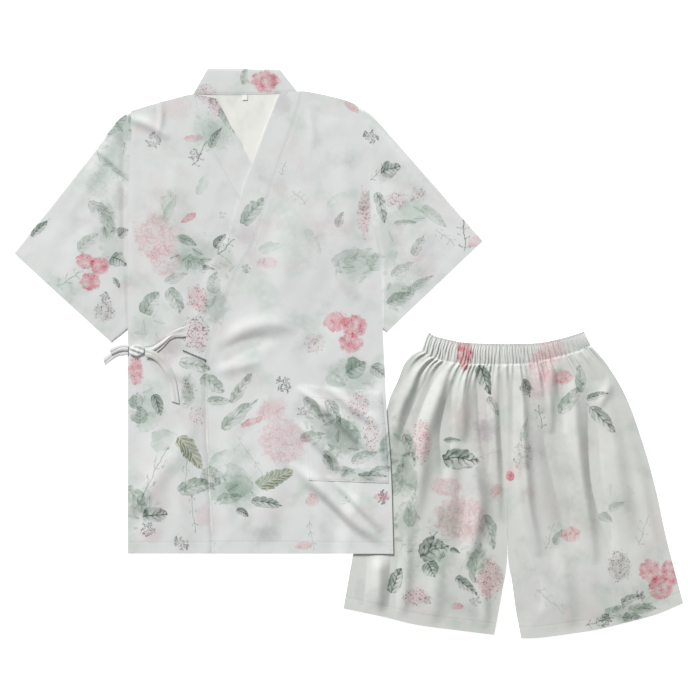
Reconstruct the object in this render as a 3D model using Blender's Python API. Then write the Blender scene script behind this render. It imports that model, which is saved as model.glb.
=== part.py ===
"""A kimono-style wrap top with a side tie and a patch pocket, and elastic-waist shorts, laid flat.

The top's lower right corner lies over one leg of the shorts. Both pieces are thin cloth panels: each
panel is filled from its cut edges, stands a little off the layer below it, and carries its largest folds.
Sizes are in millimetres until a panel becomes a mesh. The top's tables are measured from the middle of
its neck seam, the shorts' tables from the middle of the waist, +X to the photo's right, +Y up the photo.
"""

import math
from collections import namedtuple

import bmesh
import bpy
import numpy as np
from mathutils import Vector
from mathutils.geometry import delaunay_2d_cdt

MM = 0.001

# Cloth
WALL = 1.2  # one layer
SEAM = 0.3  # between pieces sewn edge to edge
LAY = 0.5  # between layers that lie on each other
BAND = 2.2  # the collar band, folded double
TIE_THICK = 1.5  # the tie, a strip folded in four
TIE_WIDTH = 13.0
LOFT = 2.0  # how far a laid panel stands off the layer below, away from its edges
LOFT_REACH = 45.0  # how far in from an edge it takes to stand off
SLEEVE_LOFT = 2.6
SETTLE = 30.0  # how far a panel takes to come down past the edge of what it lies on
CLEAR_PAST = 10.0  # how far past that edge it begins to come down
HIDDEN_INSET = 1.0  # a panel underneath ends this much short of the one above

# Where the two pieces lie
TOP_AT = (-153.9, 441.2)
SHORTS_AT = (269.4, 34.9)

# Mesh fineness
EDGE_STEP = 24.0
PANEL_STEP = 32.0
HIDDEN_STEP = 60.0
FOLD_STEP = 30.0
FOLD_LINES = (-1.5, -0.7, 0.0, 0.7, 1.5)  # rows of points across a fold, in half widths
CLIMB_STEP = 9.0
NEAREST = 5.0  # no two inner points lie closer than this

# Heights above the surface that the set lies on
BACK_TOP = WALL
FRONT_LOW = WALL + LAY
OVER_BAND = BAND + LAY  # what the left front climbs to lie on the right front and its band
ON_LEG = 2 * WALL + 2 * LAY  # what the top climbs to lie on the leg of the shorts

# Gathers of the waist
GATHERS = 40
GATHER_HEIGHT = 2.4
GATHER_FADE = 26.0  # how far below the casing a gather dies away
GATHER_COLUMNS = 4  # columns of points to a gather on the casing
GATHER_ROWS = (8.0, 18.0, 34.0)  # rows of points below the casing, on the legs
CASING_ROWS = 3

RIM_ROWS = (5.0, 17.0)  # rows of points on the leg, beside the edge of the top that lies on it

# Tables of cut edges, columns: x, y
NECK_SEAM = [(-110, 0), (-75, -1), (-22, -1), (37, 1), (66, 5)]
COLLAR_TOP = [(-85, 43), (-44, 43), (-3, 42), (37, 42)]
SHOULDER_RIGHT = [(-110, 0), (-158, -12), (-209, -27), (-215, -29)]
SHOULDER_LEFT = [(76, 5), (105, 0), (139, -8), (160, -15), (170, -22)]
ARMHOLE_RIGHT = [(-215, -29), (-215, -78), (-218, -150), (-220, -282), (-221, -401)]
ARMHOLE_LEFT = [(170, -22), (177, -75), (182, -112), (187, -139), (194, -214), (207, -286), (212, -401)]
SIDE_RIGHT = [(-221, -401), (-221, -527), (-221, -641), (-221, -781)]
SIDE_LEFT = [(212, -401), (218, -527), (226, -641), (230, -781)]
OVERLAP_SEAM = [(76, 5), (65, -36), (53, -70), (42, -100), (32, -129), (22, -158), (10, -194), (0, -228),
                (-10, -258), (-26, -286), (-42, -316), (-56, -350), (-70, -393), (-87, -452)]
OVERLAP_LIP = [(37, 0), (24, -31), (12, -61), (2, -90), (-8, -117), (-19, -143), (-31, -180), (-41, -212),
               (-49, -240), (-65, -267), (-80, -292), (-95, -333), (-110, -381), (-129, -434)]
OVERLAP_EDGE = [(-87, -453), (-88, -520), (-83, -639), (-79, -711), (-76, -781)]
UNDERLAP_SEAM = [(-110, 0), (-94, -61), (-70, -112), (-46, -158), (-31, -180), (-5, -223), (17, -265),
                 (37, -308), (58, -359), (75, -410), (92, -454)]
UNDERLAP_LIP = [(-71, -7), (-58, -31), (-44, -58), (-31, -78), (-24, -95), (-10, -121), (12, -163),
                (36, -206), (58, -248), (78, -292), (99, -343), (117, -398), (134, -439)]
UNDERLAP_EDGE = [(92, -455), (92, -781)]
HEM_Y = -781
HEM_END = 230
HEM_CLIMB = (105, 180)  # where the hem climbs on to the leg of the shorts
POCKET = [(76, -493), (109, -498), (160, -503), (210, -506), (215, -560), (219, -610), (222, -661),
          (160, -659), (86, -656), (82, -609), (78, -563)]

SLEEVE_RIGHT_UPPER = [(-216, -29), (-235, -41), (-252, -61), (-292, -114), (-333, -166), (-374, -218),
                      (-415, -270)]
SLEEVE_RIGHT_LOWER = [(-222, -401), (-231, -409), (-240, -416), (-248, -423)]
SLEEVE_RIGHT_CUFF = [(-415, -270), (-248, -423)]
SLEEVE_LEFT_UPPER = [(171, -20), (189, -30), (207, -48), (250, -97), (294, -148), (338, -199), (382, -250)]
SLEEVE_LEFT_LOWER = [(213, -401), (215, -402), (217, -404), (219, -405)]
SLEEVE_LEFT_CUFF = [(382, -250), (219, -405)]

WAIST_RIGHT = [(-133, 0), (-124, -7), (-97, -14), (-68, -19), (1, -21)]
WAIST_LEFT = [(1, -21), (56, -19), (99, -10), (131, 0)]
CASING_RIGHT = [(-145, -28), (-126, -41), (-85, -51), (-31, -53), (1, -53)]
CASING_LEFT = [(1, -53), (37, -51), (73, -43), (112, -33), (142, -21)]
OUTSEAM_RIGHT = [(-146, -29), (-160, -36), (-175, -54), (-185, -80), (-197, -105), (-202, -122), (-214, -178),
                 (-233, -253), (-261, -374), (-278, -468)]
OUTSEAM_LEFT = [(143, -22), (172, -57), (204, -113), (232, -192), (252, -264), (271, -351), (299, -459)]
HEM_RIGHT = [(-278, -468), (-212, -482), (-153, -496), (-86, -505), (-22, -513)]
HEM_LEFT = [(24, -519), (56, -518), (116, -510), (158, -503), (226, -486), (260, -476), (299, -459)]
INSEAM_RIGHT = [(-22, -513), (-17, -488), (-8, -437), (0, -384)]
INSEAM_LEFT = [(2, -384), (8, -420), (15, -471), (24, -519)]
RISE = [(1, -53), (1, -165), (1, -284), (1, -384)]

# The largest folds: a ridge stands up, a trough sinks. width is half of the fold's own.
Fold = namedtuple("Fold", "name height width line")
OVERLAP_FOLDS = [
    Fold("arc below the tie", 1.6, 10, [(-66, -445), (-31, -422), (7, -410), (54, -415)]),
    Fold("drag beside the tie", 1.1, 8, [(-80, -473), (-14, -461)]),
    Fold("diagonal at the hem", 2.0, 10, [(94, -673), (131, -716), (160, -741), (194, -765)]),
    Fold("diagonal under the pocket", 1.7, 10, [(139, -668), (173, -707), (212, -741)]),
    Fold("crease by the band", 0.9, 7, [(84, -30), (94, -73)]),
    Fold("drape of the chest", 1.2, 20, [(150, -90), (156, -220), (150, -330)]),
    Fold("drape of the front", 1.0, 22, [(70, -170), (50, -300), (60, -370)]),
    Fold("drape beside the pocket", 1.1, 18, [(20, -500), (30, -620), (10, -730)]),
]
UNDERLAP_FOLDS = [
    Fold("drape beside the lap", 1.0, 18, [(-150, -110), (-140, -230), (-135, -330)]),
    Fold("drape of the side", 0.9, 16, [(-175, -500), (-165, -620), (-172, -730)]),
]
SHORTS_FOLDS = [
    Fold("outer ridge", 1.5, 13, [(-171, -85), (-184, -131), (-188, -182)]),
    Fold("outer trough", -1.1, 12, [(-114, -70), (-139, -114), (-165, -165)]),
    Fold("leg drape", 1.6, 17, [(-60, -120), (-70, -300), (-80, -450)]),
    Fold("leg trough", -1.0, 14, [(-112, -220), (-132, -420)]),
    Fold("hem ridge", 1.4, 12, [(-214, -385), (-208, -455)]),
    Fold("hem trough", -1.0, 10, [(-189, -350), (-187, -470)]),
    Fold("centre ridge", 2.0, 13, [(28, -90), (34, -233), (42, -352), (50, -440)]),
    Fold("centre trough", -1.3, 12, [(50, -97), (60, -216), (84, -290)]),
    Fold("side ridge", 1.8, 14, [(99, -120), (116, -250), (126, -340), (140, -430)]),
    Fold("side trough", -1.1, 12, [(141, -150), (155, -284), (176, -400)]),
    Fold("outer leg ridge", 1.2, 13, [(186, -190), (206, -300), (228, -420)]),
]

# The tie. Columns of the strip: x and y of its upper edge, x and y of its lower edge.
TIE_STRIP = [(-116.6, -391, -124.0, -413), (-133, -398, -138, -413), (-147, -405, -150, -418),
             (-161, -414, -161, -430), (-178, -426, -177, -442), (-191.4, -429, -191.2, -443)]
# Columns of the free ends and the loop: x, y, height of the underside.
TIE_END_SIDE = [(-220.4, -438, 3.7), (-224, -438, 3.3), (-230, -439, 1.6), (-238, -440, 0.3),
                (-248, -445, 0.3), (-262, -455, 0.3)]
TIE_LOOP = [(-220.2, -431, 5.6), (-225, -430.5, 5.1), (-231, -431, 3.6), (-239, -433, 2.3), (-251, -438, 2.1)]
# Columns: x, y, how far it stands over what lies beside the knot.
TIE_END_DOWN = [(-190.6, -440, 2.1), (-180, -442, 2.1), (-170, -448, 1.9), (-162, -456, 0.9), (-153, -468, 0.1),
                (-146, -486, 0.0), (-142, -508, 0.0), (-140, -524, 0.0)]
TIE_LOOP_THICK = 2.4
TIE_LOOP_WIDTH = 11.0
KNOT_AT = (-205.7, -436.0)
KNOT_SIZE = (27.0, 18.6, 8.0)
KNOT_SIDES = 20
# The knot's outline on its way up. Columns: share of the height, share of the width.
KNOT_RINGS = [(0.0, 0.80), (0.18, 0.97), (0.45, 1.0), (0.70, 0.86), (0.88, 0.62), (1.0, 0.30)]
KNOT_LOBES = 5
KNOT_LOBE_DEPTH = 0.07

TAG_AT = (-22.0, -6.2)
TAG_SIZE = (8.5, 8.5)
TAG_THICK = 1.0

PALE_MINT = (0.74, 0.79, 0.76, 1)
COLOURS = {
    "top": PALE_MINT,
    "band": (0.76, 0.80, 0.77, 1),
    "sleeve": (0.72, 0.78, 0.75, 1),
    "shorts": (0.73, 0.79, 0.77, 1),
    "tie": (0.77, 0.80, 0.76, 1),
    "tag": (0.92, 0.92, 0.90, 1),
}
CLOTH_ROUGHNESS = 0.85


def placed(rows, at):
    return [(x + at[0], y + at[1]) for x, y in rows]


def smooth_line(rows, step):
    """A soft curve through the rows, as points about one step apart."""
    p = np.array(rows, float)
    ends = np.vstack([2 * p[0] - p[1], p, 2 * p[-1] - p[-2]])
    out = []
    for i in range(1, len(p)):
        a, b, c, d = ends[i - 1 : i + 3]
        n = max(1, round(float(np.linalg.norm(c - b)) / step))
        for k in range(n):
            t = k / n
            out.append(
                0.5
                * (
                    2 * b
                    + (c - a) * t
                    + (2 * a - 5 * b + 4 * c - d) * t**2
                    + (3 * b - a - 3 * c + d) * t**3
                )
            )
    out.append(p[-1])
    return np.array(out)


def along(rows, shares):
    """The points at these shares of the curve's length."""
    fine = smooth_line(rows, 2.0)
    run = np.concatenate([[0], np.cumsum(np.linalg.norm(np.diff(fine, axis=0), axis=1))])
    at = np.asarray(shares) * run[-1]
    return np.stack([np.interp(at, run, fine[:, k]) for k in (0, 1)], axis=1)


def ring(*edges):
    """One closed outline from edges that follow each other, each a list of points."""
    points = np.vstack(edges)
    follow = np.roll(points, -1, axis=0)
    return points[np.linalg.norm(points - follow, axis=1) > 1e-6]


def distance(points, line, closed=True):
    """How far each point is from the line."""
    line = np.asarray(line, float)
    starts = line if closed else line[:-1]
    ends = np.roll(line, -1, axis=0) if closed else line[1:]
    nearest = np.full(len(points), 1e9)
    for a, b in zip(starts, ends):
        run = b - a
        t = np.clip((points - a) @ run / max(float(run @ run), 1e-12), 0, 1)
        nearest = np.minimum(nearest, np.linalg.norm(points - a - t[:, None] * run, axis=1))
    return nearest


def within(points, outline):
    """True for each point inside the outline."""
    x, y = points.T
    odd = np.zeros(len(points), bool)
    for (ax, ay), (bx, by) in zip(outline, np.roll(outline, -1, axis=0)):
        if ay == by:
            continue
        crosses = (ay > y) != (by > y)
        odd ^= crosses & (x < (bx - ax) * (y - ay) / (by - ay) + ax)
    return odd


def depth_in(points, outline):
    """How far inside the outline each point is, negative outside."""
    d = distance(points, outline)
    return np.where(within(points, outline), d, -d)


def ease(t):
    t = np.clip(t, 0, 1)
    return t * t * (3 - 2 * t)


def folds_at(points, folds, at):
    total = np.zeros(len(points))
    for fold in folds:
        d = distance(points, placed(fold.line, at), closed=False)
        total += fold.height * np.exp(-((d / fold.width) ** 2))
    return total


def fold_points(folds, at):
    """Rows of points along each fold and beside it."""
    out = []
    for fold in folds:
        line = smooth_line(placed(fold.line, at), FOLD_STEP)
        run = np.gradient(line, axis=0)
        side = np.stack([-run[:, 1], run[:, 0]], axis=1)
        side /= np.linalg.norm(side, axis=1)[:, None]
        out += [line + side * fold.width * k for k in FOLD_LINES]
    return np.vstack(out)


def fill(outline, inner=(), loops=(), step=PANEL_STEP, fine_where=None):
    """Fills an outline with triangles: its own points, the loops and inner points given, and an even lattice."""
    hard = [outline, *loops]
    kept = np.zeros((0, 2))
    lines = np.vstack(hard)

    def take(candidates, clear, own):
        nonlocal kept
        candidates = candidates[depth_in(candidates, outline) > clear]
        for loop in loops:
            candidates = candidates[distance(candidates, loop) > clear]
        for p in candidates:
            others = np.vstack([kept, lines])
            if np.min(np.linalg.norm(others - p, axis=1)) > own:
                kept = np.vstack([kept, p])

    if len(inner):
        take(np.vstack(inner) if isinstance(inner, list) else inner, NEAREST, NEAREST)
    low, high = outline.min(axis=0), outline.max(axis=0)
    lattice = []
    rows = int((high[1] - low[1]) / (step * 0.87)) + 1
    for r in range(rows + 1):
        y = low[1] + r * step * 0.87
        for c in range(int((high[0] - low[0]) / step) + 2):
            lattice.append((low[0] + (c + 0.5 * (r % 2)) * step, y))
    lattice = np.array(lattice)
    if fine_where is not None:
        lattice = lattice[fine_where(lattice)]
    take(lattice, 0.45 * step, 0.6 * step)

    points = np.vstack([*hard, kept])
    edges = []
    start = 0
    for loop in hard:
        n = len(loop)
        edges += [(start + i, start + (i + 1) % n) for i in range(n)]
        start += n
    found = delaunay_2d_cdt([Vector(p) for p in points], edges, [], 1, 1e-6)
    xy = np.array([tuple(v) for v in found[0]])
    triangles = np.array([f for f in found[2] if len(f) == 3])
    a, b, c = (xy[triangles[:, k]] for k in range(3))
    turn = (b - a)[:, 0] * (c - a)[:, 1] - (b - a)[:, 1] * (c - a)[:, 0]
    triangles[turn < 0] = triangles[turn < 0][:, ::-1]
    return xy, triangles


def add_object(name, colour, points, faces):
    """One closed body in metres, with its own plain material."""
    mesh = bpy.data.meshes.new(name)
    mesh.from_pydata([tuple(p) for p in np.asarray(points) * MM], [], [tuple(int(i) for i in f) for f in faces])
    body = bmesh.new()
    body.from_mesh(mesh)
    bmesh.ops.recalc_face_normals(body, faces=body.faces)
    body.to_mesh(mesh)
    body.free()
    obj = bpy.data.objects.new(name, mesh)
    bpy.context.scene.collection.objects.link(obj)
    material = bpy.data.materials.new(name)
    material.use_nodes = True
    shader = material.node_tree.nodes["Principled BSDF"]
    shader.inputs["Base Color"].default_value = COLOURS[colour]
    shader.inputs["Roughness"].default_value = CLOTH_ROUGHNESS
    shader.inputs["Metallic"].default_value = 0.0
    mesh.materials.append(material)
    return obj


def panel(name, colour, xy, triangles, low, thick):
    """A cloth wall over filled triangles, from the height of its underside and its thickness."""
    n = len(xy)
    points = np.vstack([np.column_stack([xy, low]), np.column_stack([xy, low + thick])])
    faces = [tuple(t[::-1]) for t in triangles] + [tuple(t + n) for t in triangles]
    edges = {}
    for t in triangles:
        for i in range(3):
            edges[(t[i], t[(i + 1) % 3])] = True
    for a, b in edges:
        if (b, a) not in edges:
            faces.append((a, b, b + n, a + n))
    return add_object(name, colour, points, faces)


def patch(upper, lower, start, end, across, down):
    """A grid between four edges: shares across from start to end, shares down from upper to lower."""
    up, lo = along(upper, across), along(lower, across)
    st, en = along(start, down), along(end, down)
    u = np.asarray(across)[:, None, None]
    v = np.asarray(down)[None, :, None]
    corners = (
        (1 - u) * (1 - v) * st[0] + u * (1 - v) * en[0] + (1 - u) * v * st[-1] + u * v * en[-1]
    )
    return (1 - v) * up[:, None] + v * lo[:, None] + (1 - u) * st[None] + u * en[None] - corners


def grid_triangles(columns, rows):
    out = []
    for i in range(columns - 1):
        for j in range(rows - 1):
            a, b = i * rows + j, (i + 1) * rows + j
            out += [(a, a + 1, b + 1), (a, b + 1, b)]
    return np.array(out)


def upward(xy, triangles):
    """The triangles, each turned to run anticlockwise."""
    a, b, c = (xy[triangles[:, k]] for k in range(3))
    turn = (b - a)[:, 0] * (c - a)[:, 1] - (b - a)[:, 1] * (c - a)[:, 0]
    out = triangles.copy()
    out[turn < 0] = out[turn < 0][:, ::-1]
    return out


def grid_panel(name, colour, grid, low_of, thick):
    """A wall over a grid of points."""
    columns, rows = grid.shape[:2]
    xy = grid.reshape(-1, 2)
    low = low_of(xy)
    return panel(name, colour, xy, upward(xy, grid_triangles(columns, rows)), low, thick)


def strip(name, rows, low, thick):
    """A flat tape over rows of two edge points, with a height for each row."""
    rows = np.array(rows, float)
    xy = np.hstack([rows[:, :2], rows[:, 2:4]]).reshape(-1, 2)
    xy += np.array(TOP_AT)
    triangles = upward(xy, grid_triangles(len(rows), 2))
    return panel(name, "tie", xy, triangles, np.repeat(low, 2), thick)


def tape_rows(centre, width, cut=0.0):
    """Rows of edge points either side of a centre line, the last one cut aslant."""
    line = np.array([row[:2] for row in centre], float)
    run = np.gradient(line, axis=0)
    run /= np.linalg.norm(run, axis=1)[:, None]
    side = np.stack([-run[:, 1], run[:, 0]], axis=1) * width / 2
    a, b = line + side, line - side
    a[-1] += run[-1] * cut
    return np.hstack([a, b])


def hem_line(start):
    """The top's hem from this x to its left side seam, with more points where it climbs on to the leg."""
    spans = ((start, HEM_CLIMB[0], EDGE_STEP * 1.5), (*HEM_CLIMB, CLIMB_STEP), (HEM_CLIMB[1], HEM_END, EDGE_STEP))
    parts = [smooth_line(placed([(a, HEM_Y), (b, HEM_Y)], TOP_AT), step) for a, b, step in spans]
    return np.vstack([parts[0], parts[1][1:], parts[2][1:]])


# Outlines, placed
TOP_RIGHT_OUT = ring(
    smooth_line(placed(SHOULDER_RIGHT, TOP_AT), EDGE_STEP),
    smooth_line(placed(ARMHOLE_RIGHT, TOP_AT), EDGE_STEP * 2),
    smooth_line(placed(SIDE_RIGHT, TOP_AT), EDGE_STEP * 2),
    smooth_line(placed([(-221, HEM_Y), (92, HEM_Y)], TOP_AT), EDGE_STEP * 2),
    smooth_line(placed(UNDERLAP_EDGE[::-1], TOP_AT), EDGE_STEP * 3),
    smooth_line(placed(UNDERLAP_SEAM[::-1], TOP_AT), EDGE_STEP * 1.5)[1:],
)
TOP_LEFT_OUT = ring(
    smooth_line(placed(OVERLAP_SEAM, TOP_AT), EDGE_STEP),
    smooth_line(placed(OVERLAP_EDGE, TOP_AT), EDGE_STEP * 1.5),
    hem_line(-76),
    smooth_line(placed(SIDE_LEFT[::-1], TOP_AT), EDGE_STEP),
    smooth_line(placed(ARMHOLE_LEFT[::-1], TOP_AT), EDGE_STEP * 1.5)[1:],
    smooth_line(placed(SHOULDER_LEFT[::-1], TOP_AT), EDGE_STEP)[1:-1],
)
RIGHT_COVER = ring(
    smooth_line(placed(SHOULDER_RIGHT, TOP_AT), EDGE_STEP),
    placed([(-221, -401), (-221, -781), (92, -781), (92, -455), (134, -439)], TOP_AT),
    smooth_line(placed(UNDERLAP_LIP[::-1], TOP_AT), EDGE_STEP)[1:],
)
LEFT_COVER = ring(
    smooth_line(placed(OVERLAP_LIP, TOP_AT), EDGE_STEP),
    smooth_line(placed(OVERLAP_EDGE, TOP_AT), EDGE_STEP),
    placed([(-76, -781), (230, -781), (226, -641), (212, -403), (170, -22), (76, 5)], TOP_AT),
)
TOP_OUT = ring(
    smooth_line(placed(SHOULDER_RIGHT, TOP_AT), EDGE_STEP),
    smooth_line(placed(ARMHOLE_RIGHT, TOP_AT), EDGE_STEP * 2),
    smooth_line(placed(SIDE_RIGHT, TOP_AT), EDGE_STEP * 3),
    hem_line(-221),
    smooth_line(placed(SIDE_LEFT[::-1], TOP_AT), EDGE_STEP),
    smooth_line(placed(ARMHOLE_LEFT[::-1], TOP_AT), EDGE_STEP * 1.5)[1:],
    smooth_line(placed(SHOULDER_LEFT[::-1], TOP_AT), EDGE_STEP)[1:],
    smooth_line(placed(NECK_SEAM[::-1], TOP_AT), EDGE_STEP * 2)[:-1],
)
LEG_OUT = ring(
    smooth_line(placed(CASING_RIGHT, SHORTS_AT), EDGE_STEP),
    smooth_line(placed(RISE, SHORTS_AT), EDGE_STEP * 2),
    smooth_line(placed(INSEAM_RIGHT[::-1], SHORTS_AT), EDGE_STEP),
    smooth_line(placed(HEM_RIGHT[::-1], SHORTS_AT), EDGE_STEP),
    smooth_line(placed(OUTSEAM_RIGHT[::-1], SHORTS_AT), EDGE_STEP)[1:],
)


# Heights
def base_height(points):
    """The top's rise over the leg of the shorts."""
    return ON_LEG * ease(1 + (depth_in(points, LEG_OUT) + CLEAR_PAST) / SETTLE)


def lofted(points, outline, amount=LOFT):
    return amount * (1 - np.exp(-((np.maximum(depth_in(points, outline), 0) / LOFT_REACH) ** 2)))


def front_right_low(points):
    free = ease(-depth_in(points, LEFT_COVER) / SETTLE)
    stand = lofted(points, TOP_RIGHT_OUT) + folds_at(points, UNDERLAP_FOLDS, TOP_AT)
    return base_height(points) + FRONT_LOW + stand * free


def over_right(points):
    return OVER_BAND * ease(1 + (depth_in(points, RIGHT_COVER) + CLEAR_PAST) / SETTLE)


def front_left_low(points):
    inward = ease(depth_in(points, TOP_LEFT_OUT) / LOFT_REACH)
    stand = lofted(points, TOP_LEFT_OUT) + folds_at(points, OVERLAP_FOLDS, TOP_AT) * inward
    return base_height(points) + FRONT_LOW + over_right(points) + stand


def gathers_at(share):
    """How high a gather stands at this share of the waist's width, in uneven widths."""
    drift = 0.012 * np.sin(2 * math.pi * 3 * share) + 0.006 * np.sin(2 * math.pi * 7 * share + 1.0)
    uneven = 0.8 + 0.2 * np.sin(2 * math.pi * 5 * share + 0.6)
    wave = 0.5 - 0.5 * np.cos(2 * math.pi * GATHERS * (share + drift))
    return GATHER_HEIGHT * uneven * wave * ease(share / 0.02) * ease((1 - share) / 0.02)


def waist_share(points):
    """Each point's share of the waist's width, along the casing's seam."""
    line = np.vstack([along(placed(CASING_RIGHT, SHORTS_AT), np.linspace(0, 1, 60)),
                      along(placed(CASING_LEFT, SHORTS_AT), np.linspace(0, 1, 60))[1:]])
    run = np.concatenate([[0], np.cumsum(np.linalg.norm(np.diff(line, axis=0), axis=1))])
    run /= run[-1]
    gaps = np.linalg.norm(points[:, None] - line[None], axis=2)
    near = np.argmin(gaps, axis=1)
    step = np.clip(near, 1, len(line) - 2)
    ahead = line[step + 1] - line[step - 1]
    t = np.einsum("ij,ij->i", points - line[step - 1], ahead) / np.einsum("ij,ij->i", ahead, ahead)
    share = run[step - 1] + t * (run[step + 1] - run[step - 1])
    return np.clip(share, 0, 1), gaps.min(axis=1)


def shorts_low(points, outline):
    """The underside of a front leg: off the back leg, gathered under the casing, flat where the top lies on it."""
    share, below = waist_share(points)
    free = ease((-depth_in(points, TOP_OUT) - 2 * RIM_ROWS[0]) / SETTLE)
    inward = ease(depth_in(points, outline) / (0.6 * LOFT_REACH))
    stand = lofted(points, outline) + folds_at(points, SHORTS_FOLDS, SHORTS_AT) * inward
    gathered = gathers_at(share) * np.exp(-((below / GATHER_FADE) ** 2))
    return WALL + LAY + np.maximum(stand, 0) * free + gathered


def shifted(rows, dx, dy):
    return [(x + dx, y + dy) for x, y in rows]


def build_top():
    leg_edge = smooth_line(placed(OUTSEAM_RIGHT[5:], SHORTS_AT), FOLD_STEP)
    climb = np.vstack([leg_edge + np.array([-k * SETTLE, 0]) for k in (-0.2, 0.2, 0.6, 1.0, 1.4)])
    back = TOP_OUT.copy()
    middle = back.mean(axis=0)
    toward = (middle - back) / np.linalg.norm(middle - back, axis=1)[:, None]
    back += toward * HIDDEN_INSET * (back[:, 1:2] < TOP_AT[1] - 30)
    xy, tris = fill(back, inner=[climb], step=HIDDEN_STEP * 2)
    panel("top_back", "top", xy, tris, base_height(xy), WALL)

    right_folds = fold_points(UNDERLAP_FOLDS, TOP_AT)

    def near_view(p):
        return p[:, 0] < TOP_AT[0] - 60

    xy, tris = fill(TOP_RIGHT_OUT, inner=[right_folds, climb], step=PANEL_STEP, fine_where=near_view)
    panel("top_front_right", "top", xy, tris, front_right_low(xy), WALL)

    settle_line = smooth_line(placed(shifted(UNDERLAP_EDGE, 0, 0), TOP_AT), FOLD_STEP * 2)
    settle = np.vstack([settle_line + np.array([k * SETTLE, 0]) for k in (0.1, 0.6, 1.0, 1.4)])
    pocket_loop = ring(smooth_line(placed(POCKET + POCKET[:1], TOP_AT), FOLD_STEP)[:-1])
    xy, tris = fill(
        TOP_LEFT_OUT,
        inner=[fold_points(OVERLAP_FOLDS, TOP_AT), climb, settle],
        loops=[pocket_loop],
    )
    low = front_left_low(xy)
    panel("top_front_left", "top", xy, tris, low, WALL)
    middles = xy[tris].mean(axis=1)
    chosen = tris[within(middles, pocket_loop)]
    used, index = np.unique(chosen, return_inverse=True)
    panel("pocket", "top", xy[used], index.reshape(-1, 3), low[used] + WALL + SEAM, WALL)


def band_grid(seam_rows, lip_rows, step, down):
    """A band's points from its seam, just clear of the panel it is sewn to, out to its free edge."""
    seam = smooth_line(placed(seam_rows, TOP_AT), step)
    run = np.concatenate([[0], np.cumsum(np.linalg.norm(np.diff(seam, axis=0), axis=1))])
    lip = along(placed(lip_rows, TOP_AT), run / run[-1])
    out = (lip - seam) / np.linalg.norm(lip - seam, axis=1)[:, None]
    seam = seam + out * SEAM * 1.4
    seam[0, 1] -= 0.8
    lip[0, 1] -= 0.8
    return seam[:, None] * (1 - down[None, :, None]) + lip[:, None] * down[None, :, None]


def build_collar():
    across = np.linspace(0, 1, 9)
    back_low = [(x, y + 0.4) for x, y in NECK_SEAM]
    start = [COLLAR_TOP[0], back_low[0]]
    end = [COLLAR_TOP[-1], back_low[-1]]
    rows = [placed(r, TOP_AT) for r in (COLLAR_TOP, back_low, start, end)]
    grid = patch(*rows, across, np.linspace(0, 1, 3))
    grid_panel("collar_back", "band", grid, lambda p: np.zeros(len(p)), BAND)

    grid = band_grid(UNDERLAP_SEAM, UNDERLAP_LIP, EDGE_STEP * 1.5, np.linspace(0, 1, 3))
    grid_panel("collar_right", "band", grid, lambda p: base_height(p) + FRONT_LOW, BAND)
    grid = band_grid(OVERLAP_SEAM, OVERLAP_LIP, EDGE_STEP, np.linspace(0, 1, 5))
    grid_panel("collar_left", "band", grid, lambda p: base_height(p) + FRONT_LOW + over_right(p), BAND)


def sleeve(name, upper, lower, armhole, cuff, outward):
    """A flattened tube, open at the armhole and the cuff, its back on the surface."""
    down = np.concatenate([[0, 0.008], np.linspace(0.07, 0.93, 9), [0.992, 1]])
    across = np.linspace(0, 1, 9)
    hole = shifted(armhole, outward * SEAM * 2, 0)
    rows = [placed(r, TOP_AT) for r in (upper, lower, hole, cuff)]
    grid = patch(*rows, across, down)
    sections, columns = grid.shape[:2]
    v = down[None, :] * np.ones((sections, 1))
    bulge = np.sin(math.pi * v) ** 0.7
    fade = ease(np.linspace(0, 1, sections) / 0.25)[:, None]
    crown = 2 * WALL + LAY + SLEEVE_LOFT * bulge * fade
    crown[:, [0, -1]] = 2 * WALL + LAY
    flat = np.zeros_like(crown)
    shells = [
        np.dstack([grid, flat]),
        np.dstack([grid, crown]),
        np.dstack([grid, flat + WALL]),
        np.dstack([grid, crown - WALL]),
    ]
    points = np.vstack([s.reshape(-1, 3) for s in shells])
    size = sections * columns

    def at(shell, i, j):
        return shell * size + i * columns + j

    last = columns - 1
    faces = []
    for i in range(sections - 1):
        for j in range(last):
            for shell in (0, 1):
                faces.append((at(shell, i, j), at(shell, i + 1, j), at(shell, i + 1, j + 1), at(shell, i, j + 1)))
            if 0 < j < last - 1:
                for shell in (2, 3):
                    faces.append((at(shell, i, j), at(shell, i + 1, j), at(shell, i + 1, j + 1), at(shell, i, j + 1)))
        for j in (0, last):
            faces.append((at(0, i, j), at(0, i + 1, j), at(1, i + 1, j), at(1, i, j)))
        for j in (1, last - 1):
            faces.append((at(2, i, j), at(2, i + 1, j), at(3, i + 1, j), at(3, i, j)))
    for i in (0, sections - 1):
        for j in range(1, last - 1):
            faces.append((at(0, i, j), at(0, i, j + 1), at(2, i, j + 1), at(2, i, j)))
            faces.append((at(1, i, j), at(1, i, j + 1), at(3, i, j + 1), at(3, i, j)))
        for edge, near in ((0, 1), (last, last - 1)):
            faces.append((at(0, i, edge), at(0, i, near), at(2, i, near), at(3, i, near), at(1, i, near), at(1, i, edge)))
    used, index = np.unique(np.concatenate([np.array(f) for f in faces]), return_inverse=True)
    counts = np.cumsum([len(f) for f in faces])[:-1]
    faces = [tuple(f) for f in np.split(index.reshape(-1), counts)]
    add_object(name, "sleeve", points[used], faces)


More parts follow.
